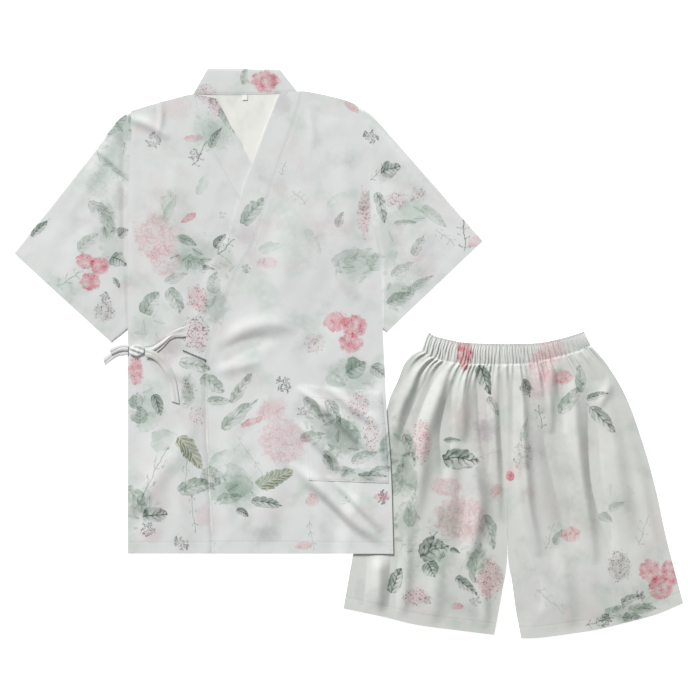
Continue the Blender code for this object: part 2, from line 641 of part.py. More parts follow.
def build_tie():
    rows = np.array(TIE_STRIP, float)
    middles = (rows[:, :2] + rows[:, 2:]) / 2 + np.array(TOP_AT)
    rest = front_right_low(middles) + WALL + LAY
    first = over_right(middles[:1]) + FRONT_LOW + base_height(middles[:1])
    heights = rest + 0.35
    heights[0] = first[0] + 0.2
    strip("tie_strip", TIE_STRIP, heights, TIE_THICK)

    side = tape_rows(TIE_END_SIDE, TIE_WIDTH - 1.0, cut=2.0)
    strip("tie_end_side", side, np.array([row[2] for row in TIE_END_SIDE]), TIE_THICK)
    loop = tape_rows(TIE_LOOP, TIE_LOOP_WIDTH)
    strip("tie_loop", loop, np.array([row[2] for row in TIE_LOOP]), TIE_LOOP_THICK)

    down = np.array(TIE_END_DOWN, float)
    rest = front_right_low(down[:, :2] + np.array(TOP_AT)) + WALL + LAY + 0.35
    strip("tie_end_down", tape_rows(TIE_END_DOWN, TIE_WIDTH, cut=3.0), rest + down[:, 2], TIE_THICK)

    at = np.array(KNOT_AT) + np.array(TOP_AT)
    turn = np.linspace(0, 2 * math.pi, KNOT_SIDES, endpoint=False)
    lobe = 1 + KNOT_LOBE_DEPTH * np.cos(KNOT_LOBES * turn + 0.7)
    foot = at + np.stack([np.cos(turn) * KNOT_SIZE[0] / 2, np.sin(turn) * KNOT_SIZE[1] / 2], axis=1)
    floor = float(front_right_low(foot).max()) + WALL + LAY
    points = []
    for rise, wide in KNOT_RINGS:
        shape = wide * (1 + (lobe - 1) * rise)
        points += [
            (at[0] + math.cos(t) * KNOT_SIZE[0] / 2 * k, at[1] + math.sin(t) * KNOT_SIZE[1] / 2 * k,
             floor + rise * KNOT_SIZE[2])
            for t, k in zip(turn, shape)
        ]
    faces = [tuple(range(KNOT_SIDES))[::-1]]
    for i in range(len(KNOT_RINGS) - 1):
        for j in range(KNOT_SIDES):
            a, b = i * KNOT_SIDES + j, i * KNOT_SIDES + (j + 1) % KNOT_SIDES
            faces.append((a, b, b + KNOT_SIDES, a + KNOT_SIDES))
    faces.append(tuple(range(len(points) - KNOT_SIDES, len(points))))
    add_object("tie_knot", "tie", points, faces)


def build_tag():
    half = np.array(TAG_SIZE) / 2
    corners = np.array([(-1, -1), (1, -1), (1, 1), (-1, 1)]) * half + np.array(TAG_AT) + np.array(TOP_AT)
    panel("neck_tag", "tag", corners, np.array([(0, 1, 2), (0, 2, 3)]), np.full(4, WALL + SEAM), TAG_THICK)


def build_shorts():
    half = GATHERS // 2
    edge_shares = np.linspace(0, 1, half * 2 + 1)
    legs = [
        ("right", CASING_RIGHT, OUTSEAM_RIGHT, HEM_RIGHT, INSEAM_RIGHT, -1),
        ("left", CASING_LEFT, OUTSEAM_LEFT, HEM_LEFT, INSEAM_LEFT, 1),
    ]
    for side, casing, outseam, hem, inseam, sign in legs:
        drop = shifted(casing, 0, -SEAM)
        top = along(placed(drop, SHORTS_AT), edge_shares)
        rise = shifted(RISE, sign * SEAM, -SEAM)
        crotch = smooth_line(placed(rise, SHORTS_AT), EDGE_STEP * 2)
        if side == "right":
            around = [
                top,
                crotch[1:],
                smooth_line(placed(inseam[::-1], SHORTS_AT), EDGE_STEP * 1.5)[1:],
                smooth_line(placed(hem[::-1], SHORTS_AT), EDGE_STEP)[1:],
                smooth_line(placed(outseam[::-1], SHORTS_AT), EDGE_STEP)[1:-1],
            ]
        else:
            around = [
                top,
                smooth_line(placed(outseam, SHORTS_AT), EDGE_STEP)[1:],
                smooth_line(placed(hem[::-1], SHORTS_AT), EDGE_STEP)[1:],
                smooth_line(placed(inseam[::-1], SHORTS_AT), EDGE_STEP * 1.5)[1:-1],
                crotch[::-1][:-1],
            ]
        outline = ring(*around)
        fan = []
        for k, drop_by in enumerate(GATHER_ROWS):
            shares = edge_shares if k < 2 else edge_shares[::2]
            line = along(placed(casing, SHORTS_AT), shares)
            run = np.gradient(line, axis=0)
            run /= np.linalg.norm(run, axis=1)[:, None]
            fan.append(line + np.stack([run[:, 1], -run[:, 0]], axis=1) * drop_by)
        if side == "right":
            rim = np.vstack([smooth_line(placed(SIDE_LEFT, TOP_AT), EDGE_STEP),
                             smooth_line(placed([(230, -781), (-76, -781)], TOP_AT), EDGE_STEP)])
            fan += [rim + np.array([k, -k]) for k in RIM_ROWS]
        folds = [f for f in SHORTS_FOLDS if (f.line[0][0] < 0) == (side == "right")]
        xy, tris = fill(outline, inner=[*fan, fold_points(folds, SHORTS_AT)])
        panel(f"shorts_front_{side}", "shorts", xy, tris, shorts_low(xy, outline), WALL)
        xy, tris = fill(outline, step=HIDDEN_STEP * 3)
        panel(f"shorts_back_{side}", "shorts", xy, tris, np.zeros(len(xy)), WALL)


def build_waist():
    columns = GATHERS * GATHER_COLUMNS // 2 + 1
    shares = np.linspace(0, 1, columns)
    rows = np.linspace(0, 1, CASING_ROWS + 1)
    halves = []
    for upper, lower in ((WAIST_RIGHT, CASING_RIGHT), (WAIST_LEFT, CASING_LEFT)):
        up, lo = along(placed(upper, SHORTS_AT), shares), along(placed(lower, SHORTS_AT), shares)
        halves.append(up[:, None] * (1 - rows[None, :, None]) + lo[:, None] * rows[None, :, None])
    grid = np.concatenate([halves[0], halves[1][1:]])
    count = len(grid)
    share = np.repeat(np.linspace(0, 1, count), len(rows))
    full = np.tile(0.55 + 0.45 * rows, count)
    xy = grid.reshape(-1, 2)
    low = WALL + LAY + gathers_at(share) * full + 0.8 * np.tile(np.sin(math.pi * rows), count)
    panel("waist_front", "shorts", xy, upward(xy, grid_triangles(count, len(rows))), low, WALL)

    coarse = grid[::4, [0, -1]].copy()
    coarse[:, 0, 1] += 2.4
    xy = coarse.reshape(-1, 2)
    panel("waist_back", "shorts", xy, upward(xy, grid_triangles(len(coarse), 2)), np.zeros(len(xy)), WALL)


def centre_all():
    """The middle of the whole set's box, on the surface, is the origin."""
    meshes = [o.data for o in bpy.context.scene.objects if o.type == "MESH"]
    points = np.vstack([[tuple(v.co) for v in m.vertices] for m in meshes])
    shift = (points.min(axis=0) + points.max(axis=0)) / 2
    for mesh in meshes:
        for v in mesh.vertices:
            v.co.x -= shift[0]
            v.co.y -= shift[1]
    print("moved by", [round(float(s) * 1000, 2) for s in shift[:2]], "lowest", points[:, 2].min())


for old in list(bpy.data.objects):
    bpy.data.objects.remove(old, do_unlink=True)
build_top()
build_collar()
sleeve("sleeve_right", SLEEVE_RIGHT_UPPER, SLEEVE_RIGHT_LOWER, ARMHOLE_RIGHT, SLEEVE_RIGHT_CUFF, -1)
sleeve("sleeve_left", SLEEVE_LEFT_UPPER, SLEEVE_LEFT_LOWER, ARMHOLE_LEFT, SLEEVE_LEFT_CUFF, 1)
build_tie()
build_tag()
build_shorts()
build_waist()
centre_all()
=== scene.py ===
"""A printed cotton kimono-style wrap top and gathered shorts, laid flat: the finish of the cloth.

Every piece of cloth is a grid laid between its own cut edges, raised to its place in the layers, with its
folds and gathers in the surface. The print is drawn by the material, from where each flower and leaf lies.
Sizes are in millimetres until a grid becomes cloth, +X to the photo's right, +Y up the photo.
"""

import math

import bmesh
import bpy
import numpy as np
from mathutils import Matrix, Vector


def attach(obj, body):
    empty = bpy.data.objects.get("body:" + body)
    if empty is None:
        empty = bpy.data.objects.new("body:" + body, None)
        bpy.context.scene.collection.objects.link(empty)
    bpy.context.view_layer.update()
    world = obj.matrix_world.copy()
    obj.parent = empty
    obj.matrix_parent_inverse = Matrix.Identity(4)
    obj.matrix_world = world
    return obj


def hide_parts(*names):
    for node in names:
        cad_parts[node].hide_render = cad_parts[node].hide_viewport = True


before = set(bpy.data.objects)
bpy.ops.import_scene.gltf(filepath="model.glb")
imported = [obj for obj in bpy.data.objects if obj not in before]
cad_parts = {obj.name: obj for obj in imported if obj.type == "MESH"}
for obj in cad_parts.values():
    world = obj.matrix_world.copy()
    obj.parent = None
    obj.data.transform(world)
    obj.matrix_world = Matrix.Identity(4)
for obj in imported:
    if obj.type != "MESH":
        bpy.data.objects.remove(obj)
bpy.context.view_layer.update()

MM = 0.001
ROOT = "root"

# Cloth
WALL = 1.2  # the room one layer takes
CLOTH = 0.9  # the cloth's own thickness
SEAM = 0.3
CLOSED = 0.05  # between pieces whose seam shows no gap
LAY = 0.5
BAND = 2.2
TIE_THICK = 1.5
TIE_WIDTH = 13.0
TIE_SEWN_IN = (2.6, 0.9)  # how far the tie's strip goes into the band it is sewn to
TIE_CROWN = 1.2  # how much its middle stands over its edges
TIE_CLEAR = 0.35  # between the tie and the cloth that it lies on
LOFT = 2.0
LOFT_REACH = 45.0
SLEEVE_LOFT = 2.6
SETTLE = 30.0
CLEAR_PAST = 10.0

BAND_WIDTH = 42.0
BAND_RUN = 490.0
NECK_RUN = 176.0
FRONT_WIDTH = 300.0
FRONT_HEM_RUN = 310.0
LEG_HEM_RUN = 270.0
CASING = 33.0
CASING_RUN = 360.0  # along the waist, before it is gathered

HEM = 20.0  # from a hem's edge to its stitches
EDGE_STITCH = 2.5
STITCH = 3.2  # from one stitch to the next
THREADS_APART = 0.7

# Heights above the surface that the set lies on
FRONT_LOW = WALL + LAY
OVER_BAND = BAND + LAY
ON_LEG = 2 * WALL + 2 * LAY
SLEEVE_TOP = 2 * WALL + LAY

# Where the two pieces lie
TOP_AT = (-153.65, 441.11)
SHORTS_AT = (269.65, 34.81)

# Cut edges, columns: x, y from TOP_AT or SHORTS_AT
NECK_SEAM = [(-110, 0), (-75, -1), (-22, -1), (37, 1), (66, 5)]
COLLAR_TOP = [(-85, 43), (-44, 43), (-3, 42), (37, 42)]
SHOULDER_RIGHT = [(-110, 0), (-158, -12), (-209, -27), (-215, -29)]
SHOULDER_LEFT = [(76, 5), (105, 0), (139, -8), (160, -15), (170, -22)]
ARMHOLE_RIGHT = [(-215, -29), (-215, -78), (-218, -150), (-220, -282), (-221, -401)]
ARMHOLE_LEFT = [(170, -22), (177, -75), (182, -112), (187, -139), (194, -214), (207, -286), (212, -401)]
SIDE_RIGHT = [(-221, -401), (-221, -527), (-221, -641), (-221, -781)]
SIDE_LEFT = [(212, -401), (218, -527), (226, -641), (230, -781)]
OVERLAP_SEAM = [(76, 5), (65, -36), (53, -70), (42, -100), (32, -129), (22, -158), (10, -194), (0, -228),
                (-10, -258), (-26, -286), (-42, -316), (-56, -350), (-70, -393), (-87, -452)]
OVERLAP_LIP = [(37, 0), (24, -31), (12, -61), (2, -90), (-8, -117), (-19, -143), (-31, -180), (-41, -212),
               (-49, -240), (-65, -267), (-80, -292), (-95, -333), (-110, -381), (-129, -434)]
OVERLAP_EDGE = [(-87, -453), (-88, -520), (-83, -639), (-79, -711), (-76, -781)]
UNDERLAP_SEAM = [(-110, 0), (-94, -61), (-70, -112), (-46, -158), (-31, -180), (-5, -223), (17, -265),
                 (37, -308), (58, -359), (75, -410), (92, -454)]
UNDERLAP_LIP = [(-71, -7), (-58, -31), (-44, -58), (-31, -78), (-24, -95), (-10, -121), (12, -163),
                (36, -206), (58, -248), (78, -292), (99, -343), (117, -398), (134, -439)]
UNDERLAP_EDGE = [(92, -455), (92, -781)]
UNDERLAP_COVER = [(-221, -401), (-221, -781), (92, -781), (92, -455), (134, -439)]
OVERLAP_COVER = [(-76, -781), (230, -781), (226, -641), (212, -403), (170, -22), (76, 5)]
HEM_Y = -781
RIGHT_HEM = (-221, HEM_Y)
LEFT_HEM = (230, HEM_Y)
POCKET_TOP = [(76, -493), (109, -498), (160, -503), (210, -506)]
POCKET_RIGHT = [(210, -506), (215, -560), (219, -610), (222, -661)]
POCKET_FOOT = [(86, -656), (160, -659), (222, -661)]
POCKET_LEFT = [(76, -493), (78, -563), (82, -609), (86, -656)]

SLEEVE_RIGHT_UPPER = [(-216, -29), (-235, -41), (-252, -61), (-292, -114), (-333, -166), (-374, -218),
                      (-415, -270)]
SLEEVE_RIGHT_LOWER = [(-222, -401), (-231, -409), (-240, -416), (-248, -423)]
SLEEVE_LEFT_UPPER = [(171, -20), (189, -30), (207, -48), (250, -97), (294, -148), (338, -199), (382, -250)]
SLEEVE_LEFT_LOWER = [(213, -401), (215, -402), (217, -404), (219, -405)]

WAIST_RIGHT = [(-133, 0), (-124, -7), (-97, -14), (-68, -19), (1, -21)]
WAIST_LEFT = [(1, -21), (56, -19), (99, -10), (131, 0)]
CASING_RIGHT = [(-145, -28), (-126, -41), (-85, -51), (-31, -53), (1, -53)]
CASING_LEFT = [(1, -53), (37, -51), (73, -43), (112, -33), (142, -21)]
OUTSEAM_RIGHT = [(-146, -29), (-160, -36), (-175, -54), (-185, -80), (-197, -105), (-202, -122), (-214, -178),
                 (-233, -253), (-261, -374), (-278, -468)]
OUTSEAM_LEFT = [(143, -22), (172, -57), (204, -113), (232, -192), (252, -264), (271, -351), (299, -459)]
HEM_RIGHT = [(-278, -468), (-212, -482), (-153, -496), (-86, -505), (-22, -513)]
HEM_LEFT = [(24, -519), (56, -518), (116, -510), (158, -503), (226, -486), (260, -476), (299, -459)]
INSEAM_RIGHT = [(0, -384), (-8, -437), (-17, -488), (-22, -513)]
INSEAM_LEFT = [(2, -384), (8, -420), (15, -471), (24, -519)]
RISE = [(1, -53), (1, -165), (1, -284)]

# Folds. Columns: height, negative where it sinks, half of its width, its line.
OVERLAP_FOLDS = [
    (1.9, 11, [(-78, -435), (-54, -415), (-20, -400), (17, -391), (51, -398)]),
    (-1.4, 10, [(-61, -447), (-24, -427), (20, -417)]),
    (1.3, 8, [(-78, -473), (-44, -466), (-14, -459)]),
    (4.2, 9, [(71, -639), (109, -673), (150, -714), (201, -758)]),
    (-2.4, 9, [(92, -680), (126, -714), (156, -748)]),
    (3.0, 6, [(133, -663), (163, -690), (211, -741)]),
    (3.8, 7, [(82, -510), (116, -537), (153, -571), (177, -595)]),
    (3.2, 7, [(77, -568), (109, -598), (139, -632)]),
    (2.6, 7, [(129, -507), (167, -537), (204, -561)]),
    (1.6, 6, [(77, -3), (85, -34), (94, -71)]),
    (-1.2, 12, [(99, -17), (133, -24), (160, -31)]),
    (1.8, 8, [(167, -37), (177, -78), (184, -126), (190, -180)]),
    (1.6, 22, [(150, -95), (153, -197), (146, -282), (136, -350)]),
    (1.2, 22, [(68, -180), (44, -299), (51, -384)]),
    (-1.2, 20, [(122, -299), (116, -350), (102, -418)]),
    (1.4, 18, [(17, -520), (31, -622), (7, -758)]),
    (1.2, 12, [(-54, -571), (-48, -656), (-58, -758)]),
]
UNDERLAP_FOLDS = [
    (2.0, 7, [(-211, -44), (-190, -51), (-167, -65)]),
    (1.3, 5, [(-167, -7), (-163, -31), (-165, -48)]),
    (0.4, 8, [(-211, -78), (-212, -180), (-212, -316), (-209, -381)]),
    (1.4, 18, [(-133, -129), (-139, -231), (-129, -316)]),
    (1.4, 16, [(-180, -520), (-170, -639), (-184, -758)]),
    (1.5, 13, [(-128, -600), (-165, -645), (-205, -695)]),
    (1.2, 8, [(-190, -435), (-163, -462), (-133, -479)]),
    (1.2, 14, [(-122, -571), (-133, -673), (-119, -767)]),
]
SLEEVE_FOLDS = [
    (1.7, 6, [(-268, -99), (-244, -122), (-224, -142)]),
    (-2.2, 4.0, [(-263, -112), (-242, -133), (-221, -156)]),
    (0.9, 16, [(-262, -190), (-300, -262), (-322, -318)]),
    (-0.6, 5, [(-228, -60), (-229, -180), (-230, -330)]),
    (0.7, 9, [(-240, -70), (-275, -130), (-310, -190)]),
    (1.5, 14, [(222, -170), (262, -250), (286, -306)]),
    (-1.3, 12, [(206, -110), (238, -190), (252, -270)]),
    (1.3, 9, [(196, -52), (240, -112), (282, -170)]),
]
SHORTS_FOLDS = [
    (3.8, 11, [(-158, -66), (-178, -107), (-194, -148), (-202, -182)]),
    (1.6, 8, [(-175, -49), (-192, -80), (-202, -107)]),
    (-2.4, 11, [(-117, -56), (-141, -107), (-161, -162), (-172, -216), (-175, -284)]),
    (3.6, 12, [(-107, -77), (-127, -128), (-143, -182), (-148, -243), (-155, -301)]),
    (-3.0, 10, [(-97, -100), (-104, -165), (-107, -233)]),
    (3.0, 10, [(-73, -73), (-76, -114), (-76, -165)]),
    (3.6, 11, [(-56, -226), (-48, -284), (-54, -335), (-63, -379)]),
    (-1.8, 10, [(-80, -233), (-76, -292), (-83, -360)]),
    (3.0, 8, [(-29, -87), (-22, -160), (-14, -233), (-12, -301)]),
    (-2.6, 8, [(-46, -80), (-39, -148), (-34, -216)]),
    (-3.0, 6, [(-6, -80), (-4, -165), (-1, -284)]),
    (4.4, 9, [(20, -60), (24, -114), (25, -168), (29, -233), (36, -301), (50, -360)]),
    (2.0, 26, [(40, -130), (44, -200), (56, -270), (74, -340)]),
    (-2.8, 15, [(52, -120), (68, -190), (84, -250), (98, -310), (108, -360)]),
    (2.2, 6, [(49, -56), (53, -87), (58, -117)]),
    (2.2, 7, [(73, -66), (72, -110), (74, -150)]),
    (-1.6, 8, [(90, -80), (94, -120), (96, -150)]),
    (4.0, 10, [(112, -97), (116, -165), (122, -226), (134, -301), (146, -372)]),
    (-3.2, 10, [(138, -114), (145, -165), (150, -250), (162, -304), (179, -366)]),
    (2.2, 12, [(158, -100), (179, -165), (189, -250), (209, -335)]),
    (1.6, 7, [(179, -80), (163, -111)]),
    (1.4, 10, [(196, -131), (226, -233), (247, -335), (264, -403)]),
    (-1.8, 10, [(29, -366), (41, -403), (53, -454)]),
    (1.6, 12, [(90, -386), (100, -437), (107, -485)]),
    (3.0, 9, [(-218, -366), (-218, -420), (-216, -461)]),
    (-2.0, 8, [(-248, -386), (-252, -428), (-253, -461)]),
    (-2.2, 8, [(-190, -318), (-192, -386), (-194, -464)]),
    (1.8, 8, [(-170, -352), (-172, -411), (-175, -461)]),
    (1.8, 11, [(-114, -386), (-121, -437), (-124, -485)]),
    (1.6, 9, [(-46, -403), (-39, -454), (-36, -491)]),
]

RUN_OUT = 20.0  # how far a fold runs out past its line's ends
DEEPER = 2.2  # how much more the folds stand than their rows say
LEG_DEEPER = 1.3  # and once more on the shorts
GATHERS = 40
GATHER_HEIGHT = 2.4
# The gathers run into fewer, broader folds further down. Columns: how many, height, where they begin and fade.
GATHER_RUNS = [(33, 2.4, 2.0, 34.0), (21, 2.8, 4.0, 62.0), (11, 2.6, 18.0, 115.0)]
GATHER_FADE = 26.0
SHORTS_LOFT = 4.2

# The tie. Columns of the strip: x and y of its upper edge, x and y of its lower edge.
TIE_STRIP = [(-116.6, -391, -124.0, -413), (-133, -398, -138, -413), (-147, -405, -150, -418),
             (-161, -414, -161, -430), (-178, -426, -177, -442), (-191.4, -429, -191.2, -443)]
# Columns of the free ends and the loop: x, y, height of the underside.
TIE_END_SIDE = [(-220.4, -438, 3.7), (-224, -438, 3.3), (-230, -439, 1.6), (-238, -440, 0.3),
                (-248, -445, 0.3), (-262, -455, 0.3)]
TIE_LOOP = [(-220.2, -431, 5.6), (-225, -430.5, 5.1), (-231, -431, 3.6), (-239, -433, 2.3), (-251, -438, 2.1)]
# Columns: x, y, how far it stands over what lies beside the knot.
TIE_END_DOWN = [(-190.6, -440, 2.1), (-180, -442, 2.1), (-170, -448, 1.9), (-162, -456, 0.9), (-153, -468, 0.1),
                (-146, -486, 0.0), (-142, -508, 0.0), (-140, -524, 0.0)]
TIE_LOOP_THICK = 2.4
TIE_LOOP_WIDTH = 11.0
KNOT_AT = (-205.7, -436.0)
KNOT_SIZE = (27.0, 18.6, 8.0)
KNOT_FOOT = 0.55  # how far below its middle it is cut flat, as a share of its half height

TAG_AT = (-22.0, -6.2)
TAG_SIZE = (8.5, 8.5)
TAG_THICK = 1.0

# The print. Colours are what the ink leaves of the white cloth's own, as linear red, green and blue.
INKS = {
    "rose": (0.98, 0.38, 0.46),
    "dusty": (0.96, 0.47, 0.53),
    "blush": (1.0, 0.80, 0.83),
    "sage": (0.48, 0.575, 0.50),
    "pale_sage": (0.75, 0.83, 0.775),
    "fern": (0.54, 0.60, 0.45),
    "moss": (0.25, 0.32, 0.27),
    "ink": (0.11, 0.10, 0.12),
    "mauve": (0.77, 0.70, 0.77),
    # Grey-brown: a print ink in the speckles, and painted shade in the broad washes on the shorts and under the tie's
    # strip
    "stone": (0.55, 0.51, 0.49),
}
# Columns of all but the stars: middle x and y, half length, half width, turn in degrees, ink, strength.
# The flowers' first column is their kind. Columns of the stars: x, y, size, strength. Places are from the
# middle of the set.
# The broad grey-brown washes below are painted shade: on the shorts the shade of their folds, on the top the shade
# under the tie's strip.
WASHES = [
    (-292, 417, 34, 24, 0, "blush", 0.45), (-307, 251, 17, 37, -20, "pale_sage", 0.4),
    (-269, 156, 34, 27, 0, "pale_sage", 0.8), (-215, 156, 27, 34, 0, "pale_sage", 0.5),
    (18, 150, 44, 31, 20, "pale_sage", 0.75), (28, 241, 14, 51, 0, "blush", 0.5),
    (-115, 426, 24, 24, 0, "mauve", 0.5), (-62, 312, 37, 34, 0, "mauve", 0.2), (-173, 200, 24, 24, 0, "mauve", 0.35),
    (-341, 48, 37, 31, 0, "pale_sage", 0.45), (-225, 81, 27, 37, 0, "sage", 0.4),
    (-9, -142, 51, 37, -40, "sage", 0.42), (-200, -235, 44, 27, 0, "pale_sage", 0.8),
    (-337, -309, 27, 17, 0, "blush", 0.5), (-247, -275, 17, 24, 0, "blush", 0.5),
    (-273, -60, 17, 34, 0, "sage", 0.35), (-371, -275, 17, 31, 0, "pale_sage", 0.6),
    (-145, -309, 41, 20, 0, "mauve", 0.25), (322, -54, 27, 34, 0, "blush", 0.6), (232, -128, 27, 27, 0, "mauve", 0.6),
    (101, -212, 20, 44, 0, "sage", 0.55), (167, -317, 44, 68, 0, "pale_sage", 0.4),
    (220, -351, 24, 31, 0, "pale_sage", 0.7), (283, -198, 20, 20, 0, "blush", 0.4),
    (513, -405, 37, 34, 0, "pale_sage", 0.6), (334, -412, 85, 58, 0, "mauve", 0.16),
    (20, -402, 14, 27, 0, "mauve", 0.3), (-388, 380, 31, 31, 0, "sage", 0.55), (-409, 230, 17, 41, 8, "sage", 0.5),
    (84, 99, 31, 27, 0, "sage", 0.45), (-244, 383, 27, 34, 0, "pale_sage", 0.5), (-123, -88, 27, 17, 0, "blush", 0.5),
    (-490, 108, 34, 24, 0, "pale_sage", 0.3), (156, 295, 34, 41, 0, "mauve", 0.2),
    (190, -105, 24, 41, 0, "blush", 0.25), (462, -249, 34, 44, 0, "pale_sage", 0.25),
    (-31, 176, 44, 68, 0, "mauve", 0.15), (-320, -215, 34, 51, 0, "blush", 0.18), (11, -283, 34, 24, 0, "blush", 0.2),
    (100, -294, 26, 52, 0, "sage", 0.5), (345, 4, 30, 24, 0, "dusty", 0.4), (344, -42, 26, 20, 0, "dusty", 0.35),
    (88, -160, 26, 60, 8, "sage", 0.45), (-30, -130, 60, 44, -35, "sage", 0.4), (-262, 175, 42, 34, 10, "sage", 0.35),
    # The grey-brown washes on this line and the next, at (236, -200) and (-300, 12), are painted shade: on the shorts
    # by their middle seam, and under the tie's strip.
    (-225, 375, 26, 34, -40, "sage", 0.22), (236, -200, 26, 120, 0, "stone", 0.22),
    (-345, -90, 30, 44, 0, "sage", 0.3), (22, -206, 36, 15, -5, "sage", 0.5), (-300, 12, 36, 20, -10, "stone", 0.28),
    (62, -158, 13, 38, 0, "sage", 0.45), (-30, -186, 13, 20, 0, "sage", 0.4), (-205, -225, 60, 34, 0, "sage", 0.3),
    (150, -350, 40, 34, 0, "sage", 0.35), (-345, -262, 30, 34, 0, "sage", 0.35), (10, -40, 44, 34, 0, "sage", 0.35),
    (-400, 330, 34, 40, 20, "pale_sage", 0.6), (-404, 180, 22, 44, 0, "sage", 0.4),
    # The grey-brown washes on this line and the next, at (150, -190) and (345, -200), are painted shade of the
    # shorts' folds.
    (480, -440, 40, 20, 10, "sage", 0.4), (150, -190, 80, 190, 4, "stone", 0.2),
    (345, -200, 50, 130, 8, "stone", 0.14), (60, 190, 26, 60, 0, "sage", 0.3),
    (110, 240, 34, 26, 0, "pale_sage", 0.7),
]
FLOWERS = [
    ("bloom", -142, 462, 27, 20, 0, "rose", 0.95), ("bloom", -20, 54, 24, 19, 0, "rose", 0.75),
    ("bloom", 10, 47, 24, 21, 0, "rose", 0.85), ("bloom", 4, 18, 22, 19, 0, "rose", 0.8),
    ("bloom", -361, -31, 15, 27, 0, "dusty", 0.85), ("bloom", -446, 156, 17, 15, 0, "rose", 0.8),
    ("bloom", -421, 149, 19, 17, 0, "rose", 0.75), ("bloom", -438, 122, 19, 17, 0, "rose", 0.95),
    ("bloom", 198, -1, 15, 29, 0, "rose", 0.9), ("bloom", 366, -40, 17, 14, 0, "dusty", 0.8),
    ("bloom", 512, -368, 20, 22, 0, "rose", 0.8), ("bloom", 530, -398, 24, 22, 0, "rose", 0.9),
    ("bloom", 548, -372, 20, 22, 0, "rose", 0.8), ("bloom", -62, -249, 12, 12, 0, "dusty", 0.6),
    ("bloom", 57, -244, 14, 8, 0, "rose", 0.6), ("bloom", -271, 230, 14, 7, 30, "rose", 0.8),
    ("bloom", 184, -429, 14, 7, 0, "rose", 0.7), ("bloom", 275, -208, 8, 10, 0, "rose", 1),
    ("bloom", 11, 419, 22, 10, -25, "dusty", 0.5), ("bloom", -264, 365, 19, 7, 10, "rose", 0.55),
    ("bloom", -164, -116, 22, 7, 20, "rose", 0.7), ("bloom", 217, 191, 15, 10, 20, "dusty", 0.5),
    ("bloom", -76, -326, 17, 8, 0, "dusty", 0.5), ("hydrangea", -327, 200, 41, 41, 0, "blush", 0.85),
    ("hydrangea", -310, 156, 32, 31, 0, "blush", 0.75), ("hydrangea", -331, 213, 19, 20, 0, "dusty", 0.5),
    ("hydrangea", -110, -150, 44, 44, 0, "blush", 1), ("hydrangea", -130, -99, 27, 20, 0, "blush", 0.8),
    ("hydrangea", -89, -147, 20, 27, 0, "dusty", 0.35), ("hydrangea", 190, -280, 46, 44, 0, "blush", 1),
    ("hydrangea", 167, -226, 30, 18, 0, "blush", 0.9), ("hydrangea", -137, 154, 20, 12, 0, "blush", 0.8),
    ("hydrangea", 377, -307, 19, 14, 0, "dusty", 0.5), ("hydrangea", 326, -18, 26, 24, 0, "blush", 0.9),
    ("hydrangea", 252, -235, 14, 15, 0, "dusty", 0.4), ("speckle", -242, 441, 19, 17, 0, "blush", 0.9),
    ("speckle", -225, 417, 15, 17, 0, "blush", 0.9), ("speckle", -256, 92, 20, 28, 20, "dusty", 0.55),
    ("speckle", -258, 34, 26, 34, 10, "blush", 1), ("speckle", 18, -88, 20, 24, 0, "blush", 0.8),
    ("speckle", 38, -137, 15, 34, 0, "blush", 0.65), ("speckle", 125, -149, 19, 44, 0, "dusty", 0.5),
    ("speckle", 239, -383, 27, 41, 0, "dusty", 0.55), ("speckle", 115, -414, 27, 17, 0, "blush", 0.8),
    ("speckle", 26, 237, 12, 44, 0, "blush", 0.6), ("speckle", 81, 261, 24, 15, 0, "blush", 0.6),
    ("speckle", 118, 269, 17, 14, 0, "blush", 0.5), ("speckle", -57, 18, 20, 19, 0, "blush", 0.6),
    ("speckle", 460, -361, 22, 31, 0, "stone", 0.6), ("speckle", 297, -174, 19, 29, 0, "stone", 0.4),
    ("speckle", -414, 72, 20, 20, 0, "stone", 0.6), ("speckle", -256, -106, 15, 20, 0, "blush", 0.5),
    ("speckle", -273, -65, 12, 27, 0, "stone", 0.6), ("lace", -224, 371, 41, 31, 0, "pale_sage", 0.8),
    ("lace", -426, 288, 24, 29, 0, "pale_sage", 0.7), ("lace", -176, -251, 27, 17, 0, "pale_sage", 0.7),
    ("lace", 106, 125, 34, 29, 0, "pale_sage", 0.7), ("lace", -6, -147, 41, 31, -40, "sage", 0.35),
    ("lace", -388, 261, 15, 24, 0, "pale_sage", 0.6), ("lace", -225, 82, 22, 31, 0, "sage", 0.4),
    ("lace", 108, -351, 17, 51, 0, "pale_sage", 0.5),
]
